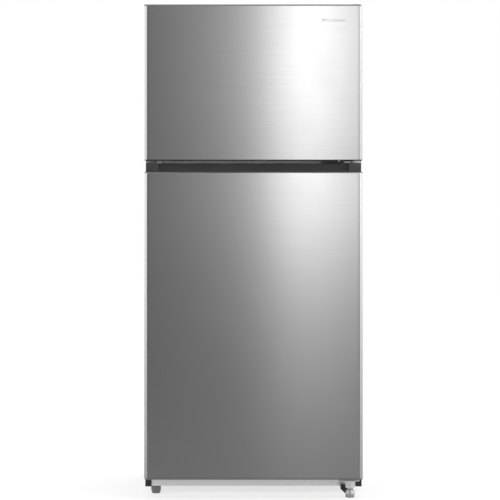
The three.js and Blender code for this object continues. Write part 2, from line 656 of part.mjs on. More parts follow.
function machineBay() {
  const group = new THREE.Group();
  const pot = new THREE.Group();
  pot.position.set(COMPRESSOR.x, COMPRESSOR.y, COMPRESSOR.floor);
  place(pot, 'compressor', compressor(), FINISHES.pot);
  const relay = block([0, 34], about(24), [30, 92]);
  place(pot, 'compressor_relay_cover', relay, FINISHES.black, [-COMPRESSOR.radius - 34.5, 0, 0]);
  place(pot, 'refrigerant_pipe', refrigerantPipe(), FINISHES.copper, [92.8, 20, 84]);
  group.add(pot);
  place(group, 'drip_pan', tray([60, 300], [170, 330], [45, 95], 2.5), FINISHES.black);
  place(group, 'machine_cover', machineCover(), FINISHES.steel);
  return group;
}

function hinges() {
  const group = new THREE.Group();
  group.position.set(HINGE.x, HINGE.y, 0);
  place(group, 'top_hinge_bracket', topHingeBracket(), FINISHES.steel);
  place(group, 'top_hinge_cover', topHingeCover(), FINISHES.black);
  place(group, 'middle_hinge_bracket', middleHingeBracket(), FINISHES.steel);
  place(group, 'bottom_hinge_bracket', bottomHingeBracket(), FINISHES.steel);
  return group;
}

function feetAndRollers() {
  const group = new THREE.Group();
  place(group, 'foot_left', foot(LEFT_FOOT), FINISHES.black, [LEFT_FOOT.x, LEFT_FOOT.y, 0]);
  place(group, 'foot_right', foot(RIGHT_FOOT), FINISHES.railGrey, [RIGHT_FOOT.x, RIGHT_FOOT.y, 0]);
  for (const [hand, side] of [['left', -1], ['right', 1]]) {
    const centre = [side * ROLLER.x, ROLLER.y, ROLLER.radius];
    place(group, `roller_${hand}`, roller(), FINISHES.black, centre);
    place(group, `roller_axle_${hand}`, rollerAxle(), FINISHES.steel, centre);
  }
  return group;
}

function freezerInside() {
  const group = new THREE.Group();
  place(group, 'freezer_back_panel', freezerBackPanel(), FINISHES.white);
  place(group, 'evaporator', evaporator(), FINISHES.coil);
  place(group, 'fan_motor', fanMotor(), FINISHES.black);
  place(group, 'fan_blade', fanBlade(), FINISHES.white, [0, (FAN.front + FAN.back) / 2, FAN.z]);
  place(group, 'freezer_shelf', shelf(FREEZER.half, 228), FINISHES.white, [0, 0, FREEZER_SHELF_Z]);
  return group;
}

function fridgeInside() {
  const group = new THREE.Group();
  place(group, 'duct_panel', ductPanel(), FINISHES.white);
  place(group, 'control_housing', controlHousing(), FINISHES.white);
  place(group, 'temperature_knob', temperatureKnob(), FINISHES.black, [-60, -150.5, 1106]);
  const lamp = block([10.5, 99.5], [-129.5, -10.5], [1080, 1090.5]);
  place(group, 'light_cover', lamp, FINISHES.clear);
  for (const [level, z] of Object.entries(FRIDGE_SHELF_Z)) {
    place(group, `shelf_${level}`, shelf(FRIDGE.half, 266), FINISHES.clear, [0, 0, z]);
  }
  const cover = shelf(FRIDGE.half, 285, CRISPER_COVER.top - CRISPER_COVER.bottom);
  place(group, 'crisper_cover', cover, FINISHES.clear, [0, 0, CRISPER_COVER.bottom]);
  const drawerMiddle = (DRAWER.inner + DRAWER.outer) / 2;
  place(group, 'crisper_drawer_left', crisperDrawer(), FINISHES.clear, [-drawerMiddle, 0, 0]);
  place(group, 'crisper_drawer_right', crisperDrawer(), FINISHES.clear, [drawerMiddle, 0, 0]);
  return group;
}

const refrigerator = new THREE.Group();
refrigerator.add(
  cabinet(), machineBay(), hinges(), feetAndRollers(), freezerInside(), fridgeInside(),
  freezerDoor(), fridgeDoor(),
);

export default refrigerator;
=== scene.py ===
"""The looks of a top freezer refrigerator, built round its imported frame.

Everything is in metres: X right, Y back, Z up, with the floor at Z = 0 and the doors facing -Y.
Sizes and places come from the frame's own nodes.
"""

from __future__ import annotations

import logging
import math
from collections.abc import Callable, Iterator, Sequence
from contextlib import contextmanager
from dataclasses import dataclass, field
from enum import Enum

import bmesh
import bpy
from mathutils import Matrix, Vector

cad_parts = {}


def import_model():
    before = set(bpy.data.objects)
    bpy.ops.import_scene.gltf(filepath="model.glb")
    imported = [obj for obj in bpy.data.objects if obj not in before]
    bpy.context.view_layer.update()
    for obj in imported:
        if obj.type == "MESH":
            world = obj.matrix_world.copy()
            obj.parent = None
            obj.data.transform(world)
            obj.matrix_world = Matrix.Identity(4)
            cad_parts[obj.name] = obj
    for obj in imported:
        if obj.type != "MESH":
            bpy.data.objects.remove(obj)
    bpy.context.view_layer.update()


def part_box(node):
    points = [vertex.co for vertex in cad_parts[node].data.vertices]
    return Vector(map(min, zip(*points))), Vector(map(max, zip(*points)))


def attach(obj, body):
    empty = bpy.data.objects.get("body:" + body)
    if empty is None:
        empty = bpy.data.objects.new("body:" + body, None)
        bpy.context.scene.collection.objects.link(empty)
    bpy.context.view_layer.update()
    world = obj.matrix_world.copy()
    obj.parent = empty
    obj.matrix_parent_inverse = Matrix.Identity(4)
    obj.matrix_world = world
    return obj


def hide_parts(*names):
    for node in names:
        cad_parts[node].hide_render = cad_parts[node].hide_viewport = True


log = logging.getLogger("refrigerator")

Span = tuple[float, float]
Color = tuple[float, float, float]
FaceTest = Callable[[bmesh.types.BMFace], bool]
EdgeTest = Callable[[bmesh.types.BMEdge], bool]

TOUCH = 1e-5  # two places closer than this are the same
MM = 0.001
HINGE_LINE = (0.351, -0.336)  # both doors swing about it


# ---- places -----------------------------------------------------------------------------


class Side(Enum):
    """The six directions of the frame."""

    LEFT = (-1, 0, 0)
    RIGHT = (1, 0, 0)
    FRONT = (0, -1, 0)
    BACK = (0, 1, 0)
    BOTTOM = (0, 0, -1)
    TOP = (0, 0, 1)

    @property
    def vector(self) -> Vector:
        """The direction as a unit vector."""
        return Vector(self.value)


@dataclass(frozen=True)
class Box:
    """A box, as its span along each axis."""

    x: Span
    y: Span
    z: Span

    @classmethod
    def of(cls, node: str) -> Box:
        """The box of a frame node."""
        low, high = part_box(node)
        return cls(*((low[i], high[i]) for i in range(3)))

    def but(self, x: Span | None = None, y: Span | None = None, z: Span | None = None) -> Box:
        """The same box with other spans along the named axes."""
        return Box(x or self.x, y or self.y, z or self.z)

    def inset(self, x: float = 0, y: float = 0, z: float = 0) -> Box:
        """The box pulled in at both ends along each axis."""
        return Box(
            (self.x[0] + x, self.x[1] - x),
            (self.y[0] + y, self.y[1] - y),
            (self.z[0] + z, self.z[1] - z),
        )

    @property
    def centre(self) -> Vector:
        """The middle of the box."""
        return Vector([(low + high) / 2 for low, high in (self.x, self.y, self.z)])

    @property
    def size(self) -> Vector:
        """The length of the box along each axis."""
        return Vector([high - low for low, high in (self.x, self.y, self.z)])


def about(middle: float, half: float) -> Span:
    """The span that reaches half to each side of a middle."""
    return (middle - half, middle + half)


# ---- shaping ----------------------------------------------------------------------------


def take(*pieces: bpy.types.Object) -> None:
    """Selects only these pieces and makes the first one active."""
    bpy.ops.object.select_all(action="DESELECT")
    for piece in pieces:
        piece.select_set(True)
    bpy.context.view_layer.objects.active = pieces[0]


def toward(side: Side, tilt: float = 0.9) -> FaceTest:
    """Faces that point to a side."""
    return lambda face: face.normal.dot(side.vector) > tilt


def outermost(side: Side, piece: bpy.types.Object) -> FaceTest:
    """Faces that point to a side and lie furthest that way."""
    limit = max(vertex.co.dot(side.vector) for vertex in piece.data.vertices)
    return lambda face: (
        face.normal.dot(side.vector) > 0.99
        and face.calc_center_median().dot(side.vector) > limit - TOUCH
    )


def edges_at(x: float | None = None, y: float | None = None, z: float | None = None) -> EdgeTest:
    """Edges with both ends at the given coordinates."""
    wanted = [(axis, value) for axis, value in enumerate((x, y, z)) if value is not None]
    return lambda edge: all(
        abs(vertex.co[axis] - value) < TOUCH for vertex in edge.verts for axis, value in wanted
    )


def along_y(edge: bmesh.types.BMEdge) -> bool:
    """True for edges that run from front to back."""
    return abs(edge.verts[0].co.y - edge.verts[1].co.y) > TOUCH


def upright(edge: bmesh.types.BMEdge) -> bool:
    """True for edges that run from bottom to top."""
    return abs(edge.verts[0].co.z - edge.verts[1].co.z) > TOUCH


def either(*tests: Callable) -> Callable:
    """True where any of the tests is."""
    return lambda part: any(test(part) for test in tests)


class Shape:
    """A mesh piece in the making, shaped with Blender's own operators where it will stand."""

    def __init__(self, piece: bpy.types.Object, name: str) -> None:
        """Names a new primitive and moves its place into its mesh."""
        self.piece = piece
        piece.name = name
        piece.data.name = name
        take(piece)
        bpy.ops.object.transform_apply(location=True, rotation=True, scale=True)

    @classmethod
    def box(cls, name: str, box: Box) -> Shape:
        """Starts from a cube stretched over a box."""
        bpy.ops.object.select_all(action="DESELECT")
        bpy.ops.mesh.primitive_cube_add(size=1, location=box.centre)
        bpy.context.object.scale = box.size
        return cls(bpy.context.object, name)

    @classmethod
    def turned(
        cls,
        name: str,
        foot: Vector | Sequence[float],
        axis: Side,
        profile: Sequence[tuple[float, float]],
        sides: int = 40,
    ) -> Shape:
        """Raises a disc along an axis, ring by ring.

        Args:
            name: The piece's name.
            foot: The point on the axis where distances start.
            axis: The direction of the axis.
            profile: Each ring's radius and its distance along the axis.
            sides: How many sides each ring has.

        Returns:
            The closed shape.
        """
        bpy.ops.object.select_all(action="DESELECT")
        radius, height = profile[0]
        bpy.ops.mesh.primitive_circle_add(
            vertices=sides, radius=radius, fill_type="NGON", location=(0, 0, height)
        )
        shape = cls(bpy.context.object, name)
        bpy.ops.object.mode_set(mode="EDIT")
        bpy.ops.mesh.select_all(action="SELECT")
        for next_radius, next_height in profile[1:]:
            rise = {"value": (0, 0, next_height - height)}
            bpy.ops.mesh.extrude_region_move(TRANSFORM_OT_translate=rise)
            factor = next_radius / radius
            if abs(factor - 1) > TOUCH:
                bpy.ops.transform.resize(
                    value=(factor, factor, 1), center_override=(0, 0, next_height)
                )
            radius, height = next_radius, next_height
        bpy.ops.mesh.select_all(action="SELECT")
        bpy.ops.mesh.normals_make_consistent(inside=False)
        bpy.ops.object.mode_set(mode="OBJECT")
        turn = Vector((0, 0, 1)).rotation_difference(axis.vector)
        shape.piece.rotation_euler = turn.to_euler()
        shape.piece.location = foot
        take(shape.piece)
        bpy.ops.object.transform_apply(location=True, rotation=True, scale=True)
        return shape

    @classmethod
    def pipe(cls, name: str, route: Sequence[Sequence[float]], radius: float, bend: float) -> Shape:
        """A round pipe with even bends along straight runs.

        Args:
            name: The piece's name.
            route: The corners of the run, end to end.
            radius: The pipe's outside radius.
            bend: The radius of each bend.

        Returns:
            The closed shape.
        """
        curve = bpy.data.curves.new(name, "CURVE")
        curve.dimensions = "3D"
        curve.bevel_depth = radius
        curve.bevel_resolution = 3
        curve.use_fill_caps = True
        points = cls._bent(route, bend)
        line = curve.splines.new("POLY")
        line.points.add(len(points) - 1)
        for point, place in zip(line.points, points):
            point.co = (*place, 1)
        piece = bpy.data.objects.new(name, curve)
        bpy.context.scene.collection.objects.link(piece)
        take(piece)
        bpy.ops.object.convert(target="MESH")
        shape = cls(bpy.context.object, name)
        return shape.merged()

    @staticmethod
    def _bent(route: Sequence[Sequence[float]], bend: float, steps: int = 6) -> list[Vector]:
        """The points of a route with each inner corner rounded by a quadratic arc."""
        corners = [Vector(corner) for corner in route]
        points = [corners[0]]
        for before, corner, after in zip(corners, corners[1:], corners[2:]):
            reach = min(bend, (before - corner).length / 2.05, (after - corner).length / 2.05)
            start = corner + (before - corner).normalized() * reach
            end = corner + (after - corner).normalized() * reach
            for step in range(steps + 1):
                t = step / steps
                points.append(start * (1 - t) ** 2 + corner * 2 * t * (1 - t) + end * t**2)
        points.append(corners[-1])
        return points

    @contextmanager
    def _editing(self, kind: str, test: Callable | None) -> Iterator[None]:
        """Edit mode with the faces or edges that pass a test selected, or all of them."""
        take(self.piece)
        bpy.ops.object.mode_set(mode="EDIT")
        bpy.ops.mesh.select_mode(type=kind)
        bpy.ops.mesh.select_all(action="SELECT" if test is None else "DESELECT")
        if test is not None:
            mesh = bmesh.from_edit_mesh(self.piece.data)
            for part in mesh.faces if kind == "FACE" else mesh.edges:
                part.select_set(test(part))
            bmesh.update_edit_mesh(self.piece.data)
        yield
        bpy.ops.object.mode_set(mode="OBJECT")

    def far(self, side: Side) -> FaceTest:
        """The faces of this shape that lie furthest to a side."""
        return outermost(side, self.piece)

    def rounded(self, test: EdgeTest | None, width: float, segments: int = 3) -> Shape:
        """Rounds the edges that pass a test."""
        with self._editing("EDGE", test):
            bpy.ops.mesh.bevel(
                offset=width, segments=segments, profile=0.5, affect="EDGES", clamp_overlap=True
            )
        return self

    def inset(self, test: FaceTest, by: float, depth: float = 0) -> Shape:
        """Insets faces, and raises them by a depth, or sinks them if it is negative."""
        with self._editing("FACE", test):
            bpy.ops.mesh.inset(thickness=by, depth=depth, use_boundary=True)
        return self

    def pushed(self, test: FaceTest, by: Vector | Sequence[float]) -> Shape:
        """Extrudes faces by a vector."""
        with self._editing("FACE", test):
            bpy.ops.mesh.extrude_region_move(TRANSFORM_OT_translate={"value": tuple(by)})
        return self

    def moved(self, test: FaceTest, by: Vector | Sequence[float]) -> Shape:
        """Moves faces by a vector, dragging what they touch."""
        with self._editing("FACE", test):
            bpy.ops.transform.translate(value=tuple(by))
        return self

    def resized(self, test: FaceTest | None, factor: Sequence[float], centre: Vector) -> Shape:
        """Scales faces about a point, dragging what they touch."""
        with self._editing("FACE", test):
            bpy.ops.transform.resize(value=tuple(factor), center_override=tuple(centre))
        return self

    def shrunk(self, test: EdgeTest, by: float) -> Shape:
        """Moves edges inwards along their vertex normals."""
        with self._editing("EDGE", test):
            bpy.ops.transform.shrink_fatten(value=-by)
        return self

    def opened(self, test: FaceTest) -> Shape:
        """Deletes faces."""
        with self._editing("FACE", test):
            bpy.ops.mesh.delete(type="FACE")
        return self

    def sliced(self, side: Side, at: Vector | Sequence[float]) -> Shape:
        """Adds a row of edges where a plane passes through."""
        with self._editing("FACE", None):
            bpy.ops.mesh.bisect(plane_co=tuple(at), plane_no=side.value)
        return self

    def merged(self) -> Shape:
        """Merges doubled vertices and turns every face outwards."""
        with self._editing("FACE", None):
            bpy.ops.mesh.remove_doubles(threshold=TOUCH)
            bpy.ops.mesh.normals_make_consistent(inside=False)
        return self

    def _applied(self, kind: str, **settings: object) -> Shape:
        """Adds a modifier with these settings and applies it."""
        take(self.piece)
        modifier = self.piece.modifiers.new(kind.lower(), kind)
        for key, value in settings.items():
            setattr(modifier, key, value)
        bpy.ops.object.modifier_apply(modifier=modifier.name)
        return self

    def thickened(self, by: float, outward: bool = False, even: bool = True) -> Shape:
        """Gives an open shell a wall, inwards unless it is told otherwise."""
        offset = 1 if outward else -1
        return self._applied("SOLIDIFY", thickness=by, offset=offset, use_even_offset=even)

    def softened(self, width: float, segments: int = 2, angle: float = 40) -> Shape:
        """Rounds every edge that is sharper than an angle in degrees."""
        return self._applied(
            "BEVEL", width=width, segments=segments, limit_method="ANGLE", angle_limit=math.radians(angle)
        )

    def repeated(self, count: int, step: Vector | Sequence[float]) -> Shape:
        """Repeats the shape along a step."""
        return self._applied(
            "ARRAY",
            count=count,
            use_relative_offset=False,
            use_constant_offset=True,
            constant_offset_displace=tuple(step),
        )

    def cut(self, *others: Shape) -> Shape:
        """Cuts the other shapes out of this one, and removes them."""
        for other in others:
            self._applied("BOOLEAN", operation="DIFFERENCE", solver="EXACT", object=other.piece)
            bpy.data.objects.remove(other.piece)
        return self

    def joined(self, *others: Shape) -> Shape:
        """Keeps the other shapes beside this one in the same piece."""
        take(self.piece, *(other.piece for other in others))
        bpy.ops.object.join()
        return self

    def copied(self, places: Sequence[Sequence[float]]) -> Shape:
        """Keeps this shape and adds a copy at each further offset, all in one piece."""
        copies = []
        for place in places:
            take(self.piece)
            bpy.ops.object.duplicate()
            copy = bpy.context.object
            copy.location = place
            copies.append(Shape(copy, f"{self.piece.name}_copy"))
        return self.joined(*copies) if copies else self

    def dressed(
        self,
        material: bpy.types.Material,
        body: str,
        slot: str,
        replaces: Sequence[str] = (),
        angle: float = 35,
    ) -> bpy.types.Object:
        """Finishes the piece: its shading, material, body and the nodes it stands for.

        Args:
            material: The finish of the whole piece.
            body: The frame body it moves with.
            slot: Not used.
            replaces: The frame nodes that this piece stands for.
            angle: The sharpest angle in degrees that is shaded smooth.

        Returns:
            The finished piece.
        """
        take(self.piece)
        bpy.ops.object.shade_smooth_by_angle(angle=math.radians(angle))
        self.piece.data.materials.clear()
        self.piece.data.materials.append(material)
        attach(self.piece, body)
        if replaces:
            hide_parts(*replaces)
        log.info("%s rides on %s", self.piece.name, body)
        return self.piece


# ---- finishes ---------------------------------------------------------------------------


def new_group(
    name: str, inputs: dict[str, tuple[str, object]], outputs: Sequence[str]
) -> tuple[bpy.types.NodeTree, bpy.types.Node, bpy.types.Node]:
    """A shader node group with named sockets.

    Args:
        name: The group's name.
        inputs: Each input's socket type and default value.
        outputs: The names of the float outputs.

    Returns:
        The group, its input node and its output node.
    """
    tree = bpy.data.node_groups.new(name, "ShaderNodeTree")
    for label, (kind, value) in inputs.items():
        socket = tree.interface.new_socket(name=label, in_out="INPUT", socket_type=kind)
        if value is not None:
            socket.default_value = value
    for label in outputs:
        tree.interface.new_socket(name=label, in_out="OUTPUT", socket_type="NodeSocketFloat")
    return tree, tree.nodes.new("NodeGroupInput"), tree.nodes.new("NodeGroupOutput")


def math_node(tree: bpy.types.NodeTree, operation: str, *values: object) -> bpy.types.NodeSocket:
    """A math node whose inputs are sockets or numbers; returns its output."""
    node = tree.nodes.new("ShaderNodeMath")
    node.operation = operation
    for socket, value in zip(node.inputs, values):
        if isinstance(value, bpy.types.NodeSocket):
            tree.links.new(value, socket)
        else:
            socket.default_value = value
    return node.outputs[0]


def grain_group() -> bpy.types.NodeTree:
    """Fine surface grain, stretched along any axis: brushing, rolling marks or moulding texture."""
    inputs = {
        "Vector": ("NodeSocketVector", None),
        "Stretch": ("NodeSocketVector", (100, 100, 100)),
        "Detail": ("NodeSocketFloat", 4.0),
    }
    tree, start, end = new_group("surface_grain", inputs, ["Shade", "Height"])
    scaled = tree.nodes.new("ShaderNodeVectorMath")
    scaled.operation = "MULTIPLY"
    tree.links.new(start.outputs["Vector"], scaled.inputs[0])
    tree.links.new(start.outputs["Stretch"], scaled.inputs[1])
    noise = tree.nodes.new("ShaderNodeTexNoise")
    noise.inputs["Scale"].default_value = 1.0
    noise.inputs["Roughness"].default_value = 0.62
    tree.links.new(scaled.outputs[0], noise.inputs["Vector"])
    tree.links.new(start.outputs["Detail"], noise.inputs["Detail"])
    shade = tree.nodes.new("ShaderNodeMapRange")
    shade.inputs["From Min"].default_value = 0.3
    shade.inputs["From Max"].default_value = 0.7
    tree.links.new(noise.outputs["Fac"], shade.inputs["Value"])
    tree.links.new(shade.outputs["Result"], end.inputs["Shade"])
    tree.links.new(noise.outputs["Fac"], end.inputs["Height"])
    return tree


def marks_group() -> bpy.types.NodeTree:
    """Large soft patches from handling and wiping."""
    inputs = {"Vector": ("NodeSocketVector", None), "Scale": ("NodeSocketFloat", 6.0)}
    tree, start, end = new_group("handling_marks", inputs, ["Mask"])
    noise = tree.nodes.new("ShaderNodeTexNoise")
    noise.inputs["Detail"].default_value = 3.0
    noise.inputs["Distortion"].default_value = 0.6
    tree.links.new(start.outputs["Vector"], noise.inputs["Vector"])
    tree.links.new(start.outputs["Scale"], noise.inputs["Scale"])
    spread = tree.nodes.new("ShaderNodeMapRange")
    spread.inputs["From Min"].default_value = 0.35
    spread.inputs["From Max"].default_value = 0.68
    tree.links.new(noise.outputs["Fac"], spread.inputs["Value"])
    tree.links.new(spread.outputs["Result"], end.inputs["Mask"])
    return tree


def wear_group() -> bpy.types.NodeTree:
    """Wear where an edge is turned, broken up by noise."""
    inputs = {"Vector": ("NodeSocketVector", None), "Width": ("NodeSocketFloat", 0.001)}
    tree, start, end = new_group("edge_wear", inputs, ["Mask"])
    bevel = tree.nodes.new("ShaderNodeBevel")
    bevel.samples = 4
    tree.links.new(start.outputs["Width"], bevel.inputs["Radius"])
    face = tree.nodes.new("ShaderNodeNewGeometry")
    dot = tree.nodes.new("ShaderNodeVectorMath")
    dot.operation = "DOT_PRODUCT"
    tree.links.new(bevel.outputs["Normal"], dot.inputs[0])
    tree.links.new(face.outputs["Normal"], dot.inputs[1])
    noise = tree.nodes.new("ShaderNodeTexNoise")
    noise.inputs["Scale"].default_value = 140.0
    tree.links.new(start.outputs["Vector"], noise.inputs["Vector"])
    turned = math_node(tree, "SUBTRACT", 1.0, dot.outputs["Value"])
    broken = math_node(tree, "MULTIPLY", turned, noise.outputs["Fac"])
    strong = math_node(tree, "MULTIPLY", broken, 9.0)
    clamped = math_node(tree, "MINIMUM", strong, 1.0)
    tree.links.new(clamped, end.inputs["Mask"])
    return tree


class Groups:
    """The shared node groups, built once when first asked for."""

    _made: dict[str, bpy.types.NodeTree] = {}
    _makers = {"grain": grain_group, "marks": marks_group, "wear": wear_group}

    @classmethod
    def get(cls, name: str) -> bpy.types.NodeTree:
        """The group with this name."""
        if name not in cls._made:
            cls._made[name] = cls._makers[name]()
        return cls._made[name]


class Stretch(Enum):
    """How the grain of a surface runs, as repeats per metre along X, Y and Z."""

    BRUSHED_ACROSS = (5.0, 900.0, 1500.0)
    BRUSHED_UP = (1300.0, 1300.0, 6.0)
    ROLLED = (60.0, 60.0, 60.0)
    MOULDED = (900.0, 900.0, 900.0)
    CELLS = (260.0, 260.0, 260.0)
    ORANGE_PEEL = (330.0, 330.0, 330.0)
    CAST = (480.0, 480.0, 480.0)


@dataclass(frozen=True)
class Finish:
    """A surface: its colour and gloss, its grain, its handling marks and its worn edges."""

    name: str
    color: Color
    roughness: float
    metallic: float = 0.0
    stretch: Stretch = Stretch.MOULDED
    shade: float = 0.05
    gloss_marks: float = 0.08
    bump: float = 0.00003
    worn: Color | None = None
    wear_width: float = 0.0012
    anisotropy: float = 0.0
    transmission: float = 0.0
    alpha: float = 1.0
    ior: float = 1.5
    coat: float = 0.0
    glow: float = 0.0

    def material(self) -> bpy.types.Material:
        """The finish as a node material, made once."""
        label = f"{self.name}_finish"
        made = bpy.data.materials.get(label)
        if made:
            return made
        made = bpy.data.materials.new(label)
        made.use_nodes = True
        tree = made.node_tree
        shader = tree.nodes["Principled BSDF"]
        place = tree.nodes.new("ShaderNodeTexCoord").outputs["Object"]
        grain = self._group(tree, "grain", place)
        grain.inputs["Stretch"].default_value = self.stretch.value
        marks = self._group(tree, "marks", place)
        tree.links.new(self._color(tree, grain, place), shader.inputs["Base Color"])
        base = self.roughness - self.gloss_marks / 2
        patches = math_node(tree, "MULTIPLY_ADD", marks.outputs["Mask"], self.gloss_marks, base)
        ridges = math_node(tree, "MULTIPLY_ADD", grain.outputs["Shade"], self.gloss_marks / 2, patches)
        tree.links.new(ridges, shader.inputs["Roughness"])
        relief = tree.nodes.new("ShaderNodeBump")
        relief.inputs["Distance"].default_value = self.bump
        tree.links.new(grain.outputs["Height"], relief.inputs["Height"])
        tree.links.new(relief.outputs["Normal"], shader.inputs["Normal"])
        shader.inputs["Metallic"].default_value = self.metallic
        shader.inputs["Anisotropic"].default_value = self.anisotropy
        shader.inputs["Transmission Weight"].default_value = self.transmission
        shader.inputs["IOR"].default_value = self.ior
        shader.inputs["Alpha"].default_value = self.alpha
        shader.inputs["Coat Weight"].default_value = self.coat
        shader.inputs["Emission Color"].default_value = (*self.color, 1)
        shader.inputs["Emission Strength"].default_value = self.glow
        if self.anisotropy:  # the tangent runs round Z, and a quarter turn lays the brushing across
            shader.inputs["Anisotropic Rotation"].default_value = 0.25
            tangent = tree.nodes.new("ShaderNodeTangent")
            tangent.direction_type = "RADIAL"
            tangent.axis = "Z"
            tree.links.new(tangent.outputs["Tangent"], shader.inputs["Tangent"])
        return made

    @staticmethod
    def _group(tree: bpy.types.NodeTree, name: str, place: bpy.types.NodeSocket) -> bpy.types.Node:
        """Places a shared group in a material, reading the piece's own coordinates."""
        node = tree.nodes.new("ShaderNodeGroup")
        node.node_tree = Groups.get(name)
        tree.links.new(place, node.inputs["Vector"])
        return node

    def _color(
        self, tree: bpy.types.NodeTree, grain: bpy.types.Node, place: bpy.types.NodeSocket
    ) -> bpy.types.NodeSocket:
        """The colour, varied by the grain and worn at the edges."""
        mix = tree.nodes.new("ShaderNodeMix")
        mix.data_type = "RGBA"
        mix.inputs[6].default_value = (*(c * (1 - self.shade) for c in self.color), 1)
        mix.inputs[7].default_value = (*(min(1, c * (1 + self.shade)) for c in self.color), 1)
        tree.links.new(grain.outputs["Shade"], mix.inputs["Factor"])
        if self.worn is None:
            return mix.outputs[2]
        wear = self._group(tree, "wear", place)
        wear.inputs["Width"].default_value = self.wear_width
        edge = tree.nodes.new("ShaderNodeMix")
        edge.data_type = "RGBA"
        edge.inputs[7].default_value = (*self.worn, 1)
        tree.links.new(wear.outputs["Mask"], edge.inputs["Factor"])
        tree.links.new(mix.outputs[2], edge.inputs[6])
        return edge.outputs[2]


STAINLESS = Finish(
    "stainless_steel", (0.61, 0.61, 0.61), 0.26, 1.0, Stretch.BRUSHED_ACROSS,
    shade=0.05, gloss_marks=0.014, bump=0.000004, anisotropy=0.9,
)
CASE_PAINT = Finish(
    "case_paint", (0.28, 0.285, 0.29), 0.42, 0.0, Stretch.ORANGE_PEEL,
    shade=0.03, gloss_marks=0.1, bump=0.00004, worn=(0.45, 0.45, 0.46), coat=0.15,
)
RAIL_PAINT = Finish(
    "rail_paint", (0.78, 0.78, 0.785), 0.4, 0.1, Stretch.ORANGE_PEEL,
    shade=0.03, gloss_marks=0.08, bump=0.00003, worn=(0.6, 0.6, 0.61),
)
CENTER_PAINT = Finish(
    "center_rail_paint", (0.93, 0.93, 0.93), 0.35, 0.0, Stretch.ORANGE_PEEL,
    shade=0.02, gloss_marks=0.06, bump=0.00002,
)
PLATED = Finish(
    "plated_steel", (0.8, 0.81, 0.82), 0.24, 1.0, Stretch.ROLLED,
    shade=0.05, gloss_marks=0.09, bump=0.00002, worn=(0.85, 0.86, 0.87), wear_width=0.0006,
)
BADGE = Finish(
    "satin_badge", (0.68, 0.68, 0.68), 0.3, 1.0, Stretch.ROLLED, shade=0.05, gloss_marks=0.06,
)
BRACKET_ZINC = Finish(
    "bracket_zinc", (0.8, 0.8, 0.81), 0.34, 0.5, Stretch.ROLLED,
    shade=0.06, gloss_marks=0.1, bump=0.00003, worn=(0.6, 0.6, 0.61), wear_width=0.0006,
)
SCREW_STEEL = Finish(
    "screw_steel", (0.7, 0.71, 0.72), 0.27, 1.0, Stretch.ROLLED, shade=0.08, gloss_marks=0.1,
)
BLACK = Finish(
    "black_plastic", (0.027, 0.027, 0.029), 0.46, 0.0, Stretch.MOULDED,
    shade=0.12, gloss_marks=0.12, bump=0.00006, worn=(0.06, 0.06, 0.063), wear_width=0.0008,
)
TRIM = Finish(
    "trim_plastic", (0.2, 0.2, 0.205), 0.42, 0.3, Stretch.MOULDED,
    shade=0.05, gloss_marks=0.08, bump=0.00003,
)
FOOT_GREY = Finish(
    "foot_plastic", (0.16, 0.16, 0.165), 0.5, 0.0, Stretch.MOULDED,
    shade=0.1, gloss_marks=0.12, bump=0.00008, worn=(0.3, 0.3, 0.31),
)
FOOT_ZINC = Finish(
    "foot_zinc", (0.62, 0.62, 0.63), 0.36, 0.85, Stretch.ROLLED,
    shade=0.06, gloss_marks=0.1, bump=0.00002,
)
LINER = Finish(
    "liner_plastic", (0.86, 0.87, 0.875), 0.3, 0.0, Stretch.ORANGE_PEEL,
    shade=0.012, gloss_marks=0.04, bump=0.00003, coat=0.1,
)
WHITE = Finish(
    "white_plastic", (0.82, 0.83, 0.835), 0.36, 0.0, Stretch.MOULDED,
    shade=0.02, gloss_marks=0.1, bump=0.00003,
)
CLEAR = Finish(
    "clear_plastic", (0.84, 0.89, 0.905), 0.13, 0.0, Stretch.ORANGE_PEEL,
    shade=0.01, gloss_marks=0.06, bump=0.00002, alpha=0.26,
)
GLASS = Finish(
    "shelf_glass", (0.62, 0.82, 0.77), 0.06, 0.0, Stretch.ORANGE_PEEL,
    shade=0.01, gloss_marks=0.03, bump=0.00001, alpha=0.22,
)
FOAM = Finish(
    "insulation_foam", (0.78, 0.66, 0.38), 0.92, 0.0, Stretch.CELLS,
    shade=0.16, gloss_marks=0.06, bump=0.0006,
)
RUBBER = Finish(
    "black_rubber", (0.028, 0.028, 0.028), 0.8, 0.0, Stretch.MOULDED,
    shade=0.2, gloss_marks=0.15, bump=0.00008,
)
GASKET_VINYL = Finish(
    "gasket_rubber", (0.36, 0.37, 0.375), 0.62, 0.0, Stretch.MOULDED,
    shade=0.06, gloss_marks=0.12, bump=0.00005,
)
POT_PAINT = Finish(
    "compressor_paint", (0.018, 0.018, 0.019), 0.3, 0.0, Stretch.CAST,
    shade=0.2, gloss_marks=0.14, bump=0.00012, worn=(0.12, 0.12, 0.12), coat=0.3,
)
COPPER = Finish(
    "copper", (0.72, 0.33, 0.19), 0.32, 1.0, Stretch.ROLLED,
    shade=0.18, gloss_marks=0.16, bump=0.00002,
)
FIN = Finish(
    "coil_aluminium", (0.78, 0.79, 0.8), 0.3, 1.0, Stretch.BRUSHED_UP,
    shade=0.05, gloss_marks=0.1, bump=0.00002,
)
LENS = Finish(
    "lamp_lens", (0.95, 0.95, 0.92), 0.35, 0.0, Stretch.ORANGE_PEEL,
    shade=0.01, gloss_marks=0.08, transmission=0.5, glow=0.25,
)
PRINT_GREY = Finish("printed_marks", (0.12, 0.13, 0.14), 0.6, shade=0.03)


# ---- fasteners --------------------------------------------------------------------------


